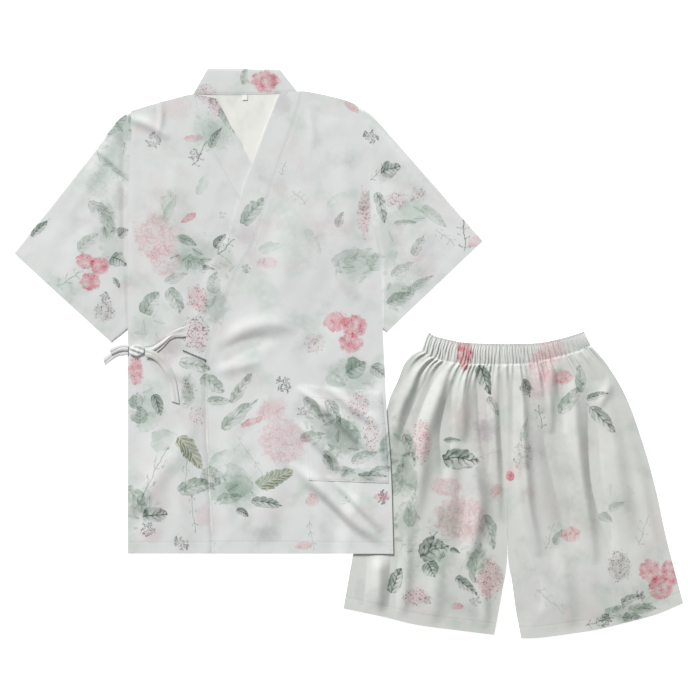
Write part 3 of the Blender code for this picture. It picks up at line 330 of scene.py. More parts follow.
LEAVES = [
    (-176, 472, 15, 7, 80, "sage", 0.8), (-334, 86, 24, 15, 55, "sage", 0.9), (-295, 89, 26, 14, -65, "sage", 0.85),
    (-273, 190, 19, 8, -25, "sage", 0.85), (-218, 191, 15, 8, 50, "moss", 0.8), (-161, 241, 29, 14, 50, "sage", 0.85),
    (-13, 227, 14, 8, 70, "moss", 0.5), (-239, 145, 10, 5, -10, "moss", 0.8), (-358, -79, 15, 14, 90, "sage", 0.9),
    (-353, -103, 15, 14, 90, "sage", 0.85), (-324, -89, 20, 10, -70, "moss", 0.7),
    (-312, -147, 24, 20, 20, "pale_sage", 1), (-268, -169, 37, 15, -55, "fern", 0.72),
    (-258, -227, 31, 15, 10, "sage", 0.85), (-327, -275, 24, 15, 5, "moss", 0.75),
    (-230, -54, 26, 15, -30, "sage", 0.85), (-181, -59, 31, 10, 55, "sage", 0.9), (-218, -81, 22, 8, 0, "sage", 0.85),
    (-184, -103, 41, 12, 40, "sage", 0.85), (-122, -212, 34, 15, 25, "fern", 0.72),
    (-188, -212, 31, 24, 120, "pale_sage", 1), (-232, -212, 20, 17, -30, "sage", 0.7),
    (-137, -254, 27, 10, -10, "moss", 0.75), (-179, -271, 12, 7, -30, "moss", 0.9),
    (-25, -99, 24, 10, -60, "moss", 0.5), (3, -130, 27, 10, -40, "sage", 0.6), (-30, -178, 17, 8, -40, "sage", 0.6),
    (43, -208, 27, 7, -2, "moss", 0.6), (14, -25, 20, 19, 30, "sage", 0.9), (-18, -35, 22, 19, 100, "pale_sage", 0.9),
    (52, -31, 15, 14, -40, "moss", 0.5), (-261, -21, 26, 12, -15, "sage", 0.9), (230, -45, 27, 12, -70, "moss", 0.85),
    (380, -76, 34, 12, 50, "sage", 0.85), (395, -42, 24, 10, 95, "sage", 0.75), (424, -72, 20, 7, 15, "moss", 0.75),
    (431, -113, 32, 12, -45, "moss", 0.65), (302, -59, 17, 8, -70, "moss", 0.7),
    (193, -181, 32, 19, -5, "moss", 0.85), (176, -147, 14, 5, 0, "moss", 0.7), (147, -335, 27, 22, 20, "moss", 0.7),
    (139, -368, 15, 14, -60, "moss", 0.75), (181, -336, 10, 5, -20, "moss", 1),
    (200, -395, 24, 10, -40, "moss", 0.75), (238, -305, 30, 14, -75, "sage", 0.85),
    (220, -354, 34, 15, 80, "sage", 0.6), (356, -312, 14, 7, 60, "sage", 0.7), (438, -280, 14, 8, -30, "sage", 0.7),
    (455, -259, 14, 7, 30, "sage", 0.5), (501, -434, 24, 10, 0, "sage", 0.9), (482, -416, 20, 7, 20, "moss", 0.7),
    (82, -385, 24, 12, 70, "moss", 0.8), (-524, 212, 20, 8, 45, "moss", 0.8), (-390, 157, 15, 15, -30, "moss", 0.65),
    (-382, 205, 10, 10, 30, "moss", 0.6), (-394, 120, 10, 5, -60, "moss", 0.8), (72, 312, 17, 15, 20, "moss", 0.7),
    (55, 247, 29, 10, -75, "moss", 0.6), (98, 222, 20, 5, 2, "sage", 0.8), (123, 118, 27, 8, 35, "sage", 0.7),
    (93, 145, 24, 8, 30, "sage", 0.6), (91, 93, 24, 12, 20, "sage", 0.75), (-395, 390, 24, 15, 40, "moss", 0.45),
    (11, 156, 37, 22, 15, "sage", 0.4), (47, 156, 17, 14, 60, "sage", 0.5), (-205, 395, 26, 10, -60, "sage", 0.85),
    (-226, 366, 19, 8, 60, "moss", 0.6), (-303, 243, 22, 9, 70, "pale_sage", 1),
    (-418, 234, 32, 14, -50, "sage", 0.6), (-258, 152, 18, 13, -20, "sage", 0.7),
    (-227, 120, 17, 13, 80, "sage", 0.6), (-58, -96, 27, 10, -50, "sage", 0.8), (-60, -140, 22, 9, 10, "sage", 0.7),
    (28, -176, 24, 10, 20, "sage", 0.7), (-6, -200, 20, 8, -10, "sage", 0.7),
    (-332, -114, 30, 15, 30, "pale_sage", 1), (-360, -250, 28, 16, -50, "sage", 0.75),
    (-214, -180, 28, 14, 40, "pale_sage", 1), (-200, -246, 25, 10, 10, "sage", 0.7),
    (84, -214, 32, 12, 70, "sage", 0.7), (104, -160, 24, 10, -70, "moss", 0.5), (108, -262, 30, 12, 80, "sage", 0.6),
    (450, -440, 25, 10, 30, "sage", 0.7), (486, -452, 22, 9, -15, "moss", 0.6), (-292, 128, 20, 9, 20, "sage", 0.5),
    (-245, 290, 22, 9, 65, "pale_sage", 0.9), (34, 262, 24, 11, 60, "sage", 0.5),
    (-440, 190, 24, 12, 40, "sage", 0.6), (-130, 180, 24, 9, 15, "pale_sage", 0.9),
    (-60, 190, 26, 9, -60, "pale_sage", 0.7), (-20, 262, 20, 8, 40, "pale_sage", 0.8),
    (146, 232, 26, 10, -40, "sage", 0.5), (120, 184, 22, 9, 60, "moss", 0.4), (300, -130, 20, 8, 80, "sage", 0.6),
    (246, -90, 18, 8, -60, "moss", 0.5), (64, -150, 20, 8, 75, "sage", 0.7), (58, -198, 22, 8, 10, "sage", 0.8),
    (0, -210, 24, 8, 5, "sage", 0.6), (-34, -186, 16, 8, -60, "moss", 0.5),
]
TWIGS = [
    (-252, 339, 24, 14, 50, "ink", 0.6), (-207, 181, 19, 12, 30, "moss", 0.9), (-334, -212, 58, 14, 58, "sage", 0.9),
    (-275, -201, 37, 8, -98, "moss", 0.7), (-263, -273, 34, 8, -88, "moss", 0.8), (-111, 314, 12, 8, 60, "moss", 0.6),
    (-84, 266, 15, 14, 120, "sage", 0.5), (196, 201, 26, 15, 80, "ink", 0.7), (166, 196, 22, 12, -50, "sage", 0.7),
    (52, 309, 20, 8, 40, "moss", 0.8), (-473, 127, 26, 14, 20, "sage", 0.8), (326, -108, 20, 10, 90, "ink", 0.7),
    (142, -319, 20, 12, 50, "ink", 0.8), (501, -300, 26, 14, 60, "sage", 0.6), (343, -421, 31, 14, -50, "sage", 0.5),
    (428, -455, 26, 10, 10, "ink", 0.7), (-167, -173, 41, 7, -60, "sage", 0.6), (169, 156, 26, 10, 20, "sage", 0.5),
    (-184, -147, 27, 7, 65, "mauve", 0.5), (232, -173, 27, 8, 10, "sage", 0.5), (343, -309, 24, 10, 65, "sage", 0.6),
    (-388, 303, 17, 10, -40, "sage", 0.6), (-62, -310, 27, 7, -85, "moss", 0.5), (-416, 241, 10, 7, 30, "ink", 0.7),
]
STARS = [
    (-110, -52, 15, 0.9), (-283, -322, 14, 0.8), (38, 368, 14, 0.8), (-331, 361, 15, 0.6), (-339, -297, 14, 0.8),
    (-79, -98, 10, 0.7), (-4, -249, 8, 0.4), (302, -59, 12, 0.6), (59, -244, 12, 0.8), (496, -411, 10, 0.7),
    (-414, 96, 10, 0.8), (-394, 81, 12, 0.7), (-215, 235, 8, 0.4), (-174, 145, 8, 0.6), (135, -419, 8, 0.6),
    (215, -421, 10, 0.5), (436, -453, 12, 0.8), (-261, 336, 12, 0.7), (407, -453, 10, 0.8),
]

# How many layers of each kind of motif may overlap
LAYERS = {"wash": 4, "leaf": 4, "fern": 1, "bloom": 3, "hydrangea": 2, "speckle": 2, "lace": 2, "twig": 2, "star": 1}
# Each point of cloth marks its motif's ink and strength as 1 + CODE_STEP * (number of the ink + strength).
CODE_STEP = 0.001
STRONGEST = 0.98
NECK_CLEAR = 330.0  # above this, nothing of the print shows through inside the back
MARGIN = 7.0  # how far past a motif its place is still marked
APART = 8.0  # how far apart two motifs of one layer stay, past that

# The photograph's frame: 700 pixels, 1.7 mm each
MM_PER_PIXEL = 1.7
FRAME_WIDTH = 700 * MM_PER_PIXEL
FRAME_CENTRE = (2.8, 5.9)
CAMERA_HEIGHT = 4000.0
SENSOR = 36.0

WINDOW_POWER = 3.9
WINDOW_SPREAD = 0.30
WINDOW_SHINES = (0.45, -0.90, -0.66)
SKY_STRENGTH = 0.36


# Lines and outlines in the plane
def placed(rows, at):
    return [(x + at[0], y + at[1]) for x, y in rows]


def smooth_line(rows, step):
    """A soft curve through the rows, as points about one step apart."""
    p = np.array(rows, float)
    ends = np.vstack([2 * p[0] - p[1], p, 2 * p[-1] - p[-2]])
    out = []
    for i in range(1, len(p)):
        a, b, c, d = ends[i - 1 : i + 3]
        count = max(1, round(float(np.linalg.norm(c - b)) / step))
        for k in range(count):
            t = k / count
            bend = (2 * a - 5 * b + 4 * c - d) * t**2 + (3 * b - a - 3 * c + d) * t**3
            out.append(0.5 * (2 * b + (c - a) * t + bend))
    out.append(p[-1])
    return np.array(out)


def along(rows, shares):
    """The points at these shares of the curve's length."""
    fine = smooth_line(rows, 2.0)
    run = np.concatenate([[0], np.cumsum(np.linalg.norm(np.diff(fine, axis=0), axis=1))])
    at = np.asarray(shares) * run[-1]
    return np.stack([np.interp(at, run, fine[:, k]) for k in (0, 1)], axis=1)


def length_of(rows):
    fine = smooth_line(rows, 2.0)
    return float(np.linalg.norm(np.diff(fine, axis=0), axis=1).sum())


def ring(*edges):
    points = np.vstack(edges)
    return points[np.linalg.norm(points - np.roll(points, -1, axis=0), axis=1) > 1e-6]


def distance(points, line, closed=True):
    line = np.asarray(line, float)
    starts = line if closed else line[:-1]
    ends = np.roll(line, -1, axis=0) if closed else line[1:]
    nearest = np.full(len(points), 1e9)
    for a, b in zip(starts, ends):
        run = b - a
        t = np.clip((points - a) @ run / max(float(run @ run), 1e-12), 0, 1)
        nearest = np.minimum(nearest, np.linalg.norm(points - a - t[:, None] * run, axis=1))
    return nearest


def within(points, outline):
    x, y = points.T
    odd = np.zeros(len(points), bool)
    for (ax, ay), (bx, by) in zip(outline, np.roll(outline, -1, axis=0)):
        if ay == by:
            continue
        crosses = (ay > y) != (by > y)
        odd ^= crosses & (x < (bx - ax) * (y - ay) / (by - ay) + ax)
    return odd


def depth_in(points, outline):
    """How far inside the outline each point is, negative outside."""
    d = distance(points, outline)
    return np.where(within(points, outline), d, -d)


def ease(t):
    t = np.clip(t, 0, 1)
    return t * t * (3 - 2 * t)


def nearest_on(points, line):
    """How far each point is from an open line, and at what share of its length the nearest place lies."""
    steps = np.linalg.norm(np.diff(line, axis=0), axis=1)
    run = np.concatenate([[0], np.cumsum(steps)])
    near, share = np.full(len(points), 1e9), np.zeros(len(points))
    for a, b, start, length in zip(line, line[1:], run, steps):
        t = np.clip((points - a) @ (b - a) / max(length**2, 1e-12), 0, 1)
        d = np.linalg.norm(points - a - t[:, None] * (b - a), axis=1)
        closer = d < near
        near[closer] = d[closer]
        share[closer] = (start + t[closer] * length) / run[-1]
    return near, share


def folds_at(points, folds, at):
    """The height of all folds, each swelling and fading along its line."""
    total = np.zeros(len(points))
    for height, width, rows in folds:
        line = smooth_line(placed(rows, at), 12.0)
        first, last = line[0] - line[1], line[-1] - line[-2]
        line = np.vstack([line[0] + RUN_OUT * first / np.linalg.norm(first), line,
                          line[-1] + RUN_OUT * last / np.linalg.norm(last)])
        pad = 4 * width
        near = np.all((points > line.min(axis=0) - pad) & (points < line.max(axis=0) + pad), axis=1)
        d, share = nearest_on(points[near], line)
        swell = np.sin(math.pi * np.clip(share, 0, 1)) ** 0.8
        total[near] += DEEPER * height * swell * np.exp(-((d / (width * (0.75 + 0.5 * swell))) ** 2))
    return total


def ripples(points, seed, height, wave, count=9):
    """Slight unevenness of laid cloth, as crossing waves of seeded direction and length."""
    rng = np.random.default_rng(seed)
    total = np.zeros(len(points))
    for _ in range(count):
        turn = rng.uniform(0, math.pi)
        length = wave * rng.uniform(0.6, 1.8)
        phase = rng.uniform(0, 2 * math.pi)
        bend = rng.uniform(60, 160)
        x = points[:, 0] * math.cos(turn) + points[:, 1] * math.sin(turn)
        y = points[:, 1] * math.cos(turn) - points[:, 0] * math.sin(turn)
        total += np.sin(2 * math.pi * x / length + phase + 1.4 * np.sin(y / bend + phase))
    return height * total / count**0.5


def closed_line(at, *edges):
    """A closed line through these edges. Each is its rows and the step between its points, 0 for straight lines."""
    return ring(*[smooth_line(placed(rows, at), step) if step else placed(rows, at) for rows, step in edges])


# Outlines, placed
RIGHT_SIDE = ARMHOLE_RIGHT + SIDE_RIGHT[1:]
LEFT_SIDE = ARMHOLE_LEFT + SIDE_LEFT[1:]
TOP_RIGHT_OUT = closed_line(TOP_AT, (SHOULDER_RIGHT, 12), (RIGHT_SIDE, 24), ([RIGHT_HEM, (92, HEM_Y)], 0),
                            (UNDERLAP_EDGE[::-1], 60), (UNDERLAP_SEAM[::-1], 18))
TOP_LEFT_OUT = closed_line(TOP_AT, (OVERLAP_SEAM, 12), (OVERLAP_EDGE, 24), ([(-76, HEM_Y), LEFT_HEM], 0),
                           (SIDE_LEFT[::-1], 24), (ARMHOLE_LEFT[::-1], 18), (SHOULDER_LEFT[::-1], 12))
RIGHT_COVER = closed_line(TOP_AT, (SHOULDER_RIGHT, 24), (UNDERLAP_COVER, 0), (UNDERLAP_LIP[::-1], 12))
LEFT_COVER = closed_line(TOP_AT, (OVERLAP_LIP, 12), (OVERLAP_EDGE, 24), (OVERLAP_COVER, 0))
TOP_OUT = closed_line(TOP_AT, (SHOULDER_RIGHT, 24), (RIGHT_SIDE, 48), ([RIGHT_HEM, LEFT_HEM], 0),
                      (SIDE_LEFT[::-1], 24), (ARMHOLE_LEFT[::-1], 24), (SHOULDER_LEFT[::-1], 24),
                      (NECK_SEAM[::-1], 24))
RIGHT_LEG_OUT = closed_line(SHORTS_AT, (CASING_RIGHT, 24), (RISE + INSEAM_RIGHT, 24), (HEM_RIGHT[::-1], 24),
                            (OUTSEAM_RIGHT[::-1], 18))
LEFT_LEG_OUT = closed_line(SHORTS_AT, (CASING_LEFT, 24), (OUTSEAM_LEFT, 24), (HEM_LEFT[::-1], 24),
                           ((RISE + INSEAM_LEFT)[::-1], 24))


# Heights of a panel's underside
def resting(stand):
    """A panel sinks no lower than what it lies on."""
    return 0.5 * (stand + np.sqrt(stand * stand + 0.4)) - 0.3


def base_height(points):
    return ON_LEG * ease(1 + (depth_in(points, RIGHT_LEG_OUT) + CLEAR_PAST) / SETTLE)


def lofted(points, outline, amount=LOFT):
    return amount * (1 - np.exp(-((np.maximum(depth_in(points, outline), 0) / LOFT_REACH) ** 2)))


def front_right_low(points):
    free = ease(-depth_in(points, LEFT_COVER) / SETTLE)
    stand = lofted(points, TOP_RIGHT_OUT) + folds_at(points, UNDERLAP_FOLDS, TOP_AT)
    return base_height(points) + FRONT_LOW + np.maximum(resting(stand), 0) * free


def over_right(points):
    return OVER_BAND * ease(1 + (depth_in(points, RIGHT_COVER) + CLEAR_PAST) / SETTLE)


def front_left_low(points):
    inward = ease(depth_in(points, TOP_LEFT_OUT) / LOFT_REACH)
    stand = lofted(points, TOP_LEFT_OUT) + folds_at(points, OVERLAP_FOLDS, TOP_AT) * inward
    return base_height(points) + FRONT_LOW + over_right(points) + np.maximum(resting(stand), 0)


def gathers_at(share):
    """How high a gather stands at this share of the waist's width, in uneven widths."""
    drift = 0.012 * np.sin(2 * math.pi * 3 * share) + 0.006 * np.sin(2 * math.pi * 7 * share + 1.0)
    uneven = 0.8 + 0.2 * np.sin(2 * math.pi * 5 * share + 0.6)
    wave = 0.5 - 0.5 * np.cos(2 * math.pi * GATHERS * (share + drift))
    return GATHER_HEIGHT * uneven * wave * ease(share / 0.02) * ease((1 - share) / 0.02)


# Shader nodes
class Value:
    """A shader value. An expression on it adds its Math nodes."""

    def __init__(self, shader, socket):
        self.shader = shader
        self.socket = socket

    def math(self, operation, *others):
        return self.shader.math(operation, self, *others)

    def __add__(self, other):
        return self.math("ADD", other)

    def __radd__(self, other):
        return self.shader.math("ADD", other, self)

    def __sub__(self, other):
        return self.math("SUBTRACT", other)

    def __rsub__(self, other):
        return self.shader.math("SUBTRACT", other, self)

    def __mul__(self, other):
        return self.math("MULTIPLY", other)

    def __rmul__(self, other):
        return self.shader.math("MULTIPLY", other, self)

    def __truediv__(self, other):
        return self.math("DIVIDE", other)

    def __pow__(self, other):
        return self.math("POWER", other)

    def __abs__(self):
        return self.math("ABSOLUTE")

    def fract(self):
        return self.math("FRACT")

    def least(self, other):
        return self.math("MINIMUM", other)

    def most(self, other):
        return self.math("MAXIMUM", other)

    def clear(self):
        """Kept between 0 and 1."""
        return self.most(0.0).least(1.0)

    def rise(self, low, high):
        """From 0 at low to 1 at high, softly. high may be below low."""
        flip = high < low
        values = {"Value": self, "From Min": min(low, high), "From Max": max(low, high)}
        if flip:
            values |= {"To Min": 1.0, "To Max": 0.0}
        node = self.shader.node("ShaderNodeMapRange", {"interpolation_type": "SMOOTHSTEP"}, values)
        return Value(self.shader, node.outputs[0])


class Shader:
    """The nodes of one material."""

    def __init__(self, name, roughness, sheen=0.0):
        self.material = bpy.data.materials.new(name)
        self.material.use_nodes = True
        self.tree = self.material.node_tree
        self.surface = self.tree.nodes["Principled BSDF"]
        self.surface.inputs["Roughness"].default_value = roughness
        self.surface.inputs["Sheen Weight"].default_value = sheen
        self.surface.inputs["Sheen Roughness"].default_value = 0.5
        self.surface.inputs["Specular IOR Level"].default_value = 0.3
        self.place = self.node("ShaderNodeTexCoord").outputs["Object"]

    def node(self, kind, settings=None, values=None):
        """A node of this type: its settings are set first, then the values or links of its sockets."""
        node = self.tree.nodes.new(kind)
        for name, setting in (settings or {}).items():
            setattr(node, name, setting)
        for socket, value in (values or {}).items():
            if isinstance(value, Value):
                value = value.socket
            if isinstance(value, bpy.types.NodeSocket):
                self.tree.links.new(value, node.inputs[socket])
            else:
                node.inputs[socket].default_value = value
        return node

    def math(self, operation, *values):
        node = self.node("ShaderNodeMath", {"operation": operation}, dict(enumerate(values)))
        return Value(self, node.outputs[0])

    def mix(self, factor, first, second, blend="MIX"):
        """Two colours mixed, as a socket."""
        settings = {"data_type": "RGBA", "blend_type": blend}
        return self.node("ShaderNodeMix", settings, {0: factor, 6: first, 7: second}).outputs[2]

    def inked(self, ground, ink, strength):
        """The ground with this much of an ink over it."""
        return self.mix(strength, ground, ink, "MULTIPLY")

    def parts(self, socket):
        """The three parts of a vector or a colour."""
        kind = "ShaderNodeSeparateColor" if socket.type == "RGBA" else "ShaderNodeSeparateXYZ"
        return [Value(self, out) for out in self.node(kind, values={0: socket}).outputs]

    def noise(self, wave, detail=2.0, stretch=None):
        """Noise with features about this many millimetres long, as its value and its three-part colour."""
        place = self.place
        if stretch:
            node = self.node("ShaderNodeVectorMath", {"operation": "MULTIPLY"}, {0: place, 1: stretch})
            place = node.outputs[0]
        values = {"Vector": place, "Scale": 1 / (wave * MM), "Detail": detail, "Roughness": 0.55}
        node = self.node("ShaderNodeTexNoise", values=values)
        return Value(self, node.outputs[0]), node.outputs[1]

    def cells(self, wave):
        """Cells this many millimetres across: how far each point is from the cell's middle."""
        settings = {"feature": "F1", "voronoi_dimensions": "2D"}
        values = {"Vector": self.place, "Scale": 1 / (wave * MM), "Randomness": 1.0}
        return Value(self, self.node("ShaderNodeTexVoronoi", settings, values).outputs[0])

    def cell_frame(self, wave):
        """Cells this many millimetres across: the place in each, from -1 to 1, turned at random, and two
        random shares."""
        values = {"Vector": self.place, "Scale": 1 / (wave * MM), "Randomness": 0.9}
        node = self.node("ShaderNodeTexVoronoi", {"feature": "F1", "voronoi_dimensions": "2D"}, values)
        x, y, _ = self.parts(self.place)
        middle_x, middle_y, _ = self.parts(node.outputs["Position"])
        turn, size, share = self.parts(node.outputs["Color"])
        cosine, sine = (turn * 6.28).math("COSINE"), (turn * 6.28).math("SINE")
        x, y = (x - middle_x) * (2 / (wave * MM)), (y - middle_y) * (2 / (wave * MM))
        return x * cosine + y * sine, y * cosine - x * sine, size, share

    def ink_of(self, number):
        """The ink of this number, as a socket."""
        node = self.node("ShaderNodeValToRGB", values={0: (number + 0.5) / len(INKS)})
        ramp = node.color_ramp
        ramp.interpolation = "CONSTANT"
        for k, ink in enumerate(INKS.values()):
            step = ramp.elements[k] if k < 2 else ramp.elements.new(k / len(INKS))
            step.position = k / len(INKS)
            step.color = (*ink, 1)
        return node.outputs[0]

    def attribute(self, name):
        return self.node("ShaderNodeAttribute", {"attribute_name": name})

    def colour(self, socket):
        self.tree.links.new(socket, self.surface.inputs["Base Color"])

    def bump(self, height, distance):
        node = self.node("ShaderNodeBump", values={"Strength": 1.0, "Distance": distance * MM, "Height": height})
        self.tree.links.new(node.outputs[0], self.surface.inputs["Normal"])


# The print, one motif of each kind: u runs along it and v across, both from -1 to 1
def leaf(shader, u, v, ink, uneven, blotch):
    """A leaf's wash, and its darker veins and broken edge."""
    width = 0.95 * ((1 - u).most(0.0) ** 0.8) * ((1 + u).most(0.0) ** 0.45)
    bent = v - 0.14 * (1 - u * u)
    side = abs(bent)
    slant = u - side * 0.62
    wave = abs((slant * 2.6).fract() - 0.5) * 2
    room = width - side + (uneven - 0.5) * 0.3
    inside = room.rise(-0.04, 0.2)
    green = shader.node("ShaderNodeSeparateColor", values={0: ink}).outputs[1]
    veined = Value(shader, green).rise(0.80, 0.34)
    midrib = side.rise(0.10, 0.03)
    veins = wave.rise(0.5, 0.95) * side.rise(0.9, 0.1)
    edge = room.rise(0.22, 0.05) * blotch.rise(0.42, 0.60)
    shade = bent.rise(-0.35, 0.45)
    wash = inside * (0.28 + 0.5 * shade + 0.25 * u.rise(0.2, -0.9)) * (0.25 + 1.5 * blotch)
    wash = wash * (1 - 0.55 * midrib * (1 - veined))
    dark = inside * (midrib * veined * 0.8 + veins * veined * (0.35 + 0.8 * uneven) + edge * (0.3 + 0.6 * veined))
    return wash.clear(), dark.clear()


def fern(u, v, uneven, blotch):
    """A toothed leaf, its light veins between dark stripes."""
    width = 0.95 * ((1 - u).most(0.0) ** 0.75) * ((1 + u).most(0.0) ** 0.4)
    side = abs(v - 0.1 * (1 - u * u))
    wave = abs(((u - side * 0.75) * 3.4).fract() - 0.5) * 2
    room = width * (1 - 0.22 * wave.rise(0.4, 1.0)) - side + (uneven - 0.5) * 0.2
    inside = room.rise(0.0, 0.1)
    light = (side.rise(0.09, 0.03)).most(wave.rise(0.55, 0.25) * side.rise(1.0, 0.5))
    wash = inside * (0.75 + 0.3 * blotch)
    dark = inside * (1 - light) * (0.45 + 0.8 * blotch) * (0.55 + 0.45 * v.rise(0.5, -0.4))
    return wash.clear(), dark.clear()


def twig(u, v, uneven):
    """A thin stem with side shoots and small buds at their ends."""
    bent = v - 0.28 * (u * 2.2).math("SINE") - 0.3 * (uneven - 0.5)
    side = abs(bent)
    stem = side.rise(0.09, 0.03) * abs(u).rise(1.0, 0.94)
    slant = abs((u * 1.7 - side * 0.55).fract() - 0.5)
    shoot = slant.rise(0.09, 0.03) * side.rise(0.62, 0.5) * abs(u).rise(0.95, 0.85)
    bud = ((slant * 2.2) * (slant * 2.2) + (side - 0.62) * (side - 0.62) * 7).rise(0.16, 0.05)
    drawn = stem * (0.4 + uneven) + shoot * uneven.rise(0.35, 0.6) * 0.8 + bud * abs(u).rise(0.9, 0.8) * uneven
    return drawn.clear()


def star(shader, u, v, uneven):
    """Six small leaves round a middle, dark at their edges, some of them half washed out."""
    radius = (u * u + v * v).math("SQRT")
    turn = shader.math("ARCTAN2", v, u)
    ray = abs((turn * 2.0 + 9 * uneven).math("COSINE")) ** 1.6
    room = ray * 0.8 - abs(radius - 0.5) * 1.3 + (uneven - 0.5) * 0.9
    return room.rise(0.10, 0.28) * (1 - 0.65 * room.rise(0.4, 0.62)) * (0.1 + 1.5 * uneven)


def astray(u, v, warp_u, warp_v, amount):
    """The place in a motif, pushed a little aside, so that no two are alike."""
    return u + (warp_u - 0.5) * amount, v + (warp_v - 0.5) * amount


def round_patch(u, v, warp_u, warp_v, amount):
    """How far out each point is, on a round patch with an uneven edge."""
    x, y = astray(u, v, warp_u, warp_v, amount)
    return (x * x + y * y).math("SQRT")


def blossom(shader, wave, petals):
    """Small blossoms side by side: their petals, the petals' rims and their middles."""
    u, v, size, _ = shader.cell_frame(wave)
    radius = (u * u + v * v).math("SQRT")
    turn = shader.math("ARCTAN2", v, u)
    reach = 0.5 + 0.25 * size + 0.2 * (turn * float(petals)).math("COSINE")
    return (reach - radius).rise(0.0, 0.15), abs(reach - radius).rise(0.13, 0.03), radius.rise(0.24, 0.10)


def leaflets(shader, wave):
    """Small leaves lying every way: their wash, and their veins and edges."""
    u, v, size, share = shader.cell_frame(wave)
    room = (0.34 + 0.2 * size) * (1 - u * u) - abs(v)
    inside = room.rise(0.0, 0.1) * share.rise(0.25, 0.35)
    drawn = abs(v).rise(0.08, 0.02) + room.rise(0.14, 0.02) * share
    return inside * (0.5 + 0.5 * v.rise(-0.3, 0.3)), inside * drawn


def dots_of(shader, wave, small, large):
    """Dots of uneven size, missing here and there."""
    u, v, size, share = shader.cell_frame(wave)
    radius = (u * u + v * v).math("SQRT") / (small + (large - small) * size)
    return radius.rise(1.0, 0.6) * share.rise(0.3, 0.34)


def mottled(s, white, broad, uneven):
    """White cloth under faint, uneven washes of the print's own inks."""
    far, clouds = s.noise(70, 2)
    sage_cloud, blush_cloud, mauve_cloud = s.parts(clouds)
    soft = (0.4 + 1.1 * uneven) * broad.rise(0.25, 0.75)
    ground = s.inked(white, (*INKS["pale_sage"], 1), (sage_cloud.rise(0.46, 0.66) * soft * 0.55).clear())
    ground = s.inked(ground, (*INKS["blush"], 1), (blush_cloud.rise(0.52, 0.70) * soft * 0.45).clear())
    ground = s.inked(ground, (*INKS["mauve"], 1), (mauve_cloud.rise(0.50, 0.70) * soft * 0.40).clear())
    faint = (far.rise(0.45, 0.6) * (1 - far.rise(0.62, 0.75))) * s.cells(13).rise(0.30, 0.36)
    return s.inked(ground, (*INKS["pale_sage"], 1), faint * 0.16)


DEEP = (0.42, 0.38, 0.40, 1)  # what the dark veins and edges leave
PRINTED = ("wash", "lace", "hydrangea", "speckle", "bloom", "leaf", "fern", "twig", "star")
TOP_WHITE = (0.665, 0.683, 0.673, 1)
# The shorts' white is more cream than the top's, the cloth's own tone, and darker, painted shade of the shorts'
# folds.
SHORTS_WHITE_SHADED = (0.60, 0.612, 0.585, 1)
TIE_WHITE = (0.67, 0.68, 0.665, 1)
INNER_WHITE = (0.79, 0.79, 0.745, 1)


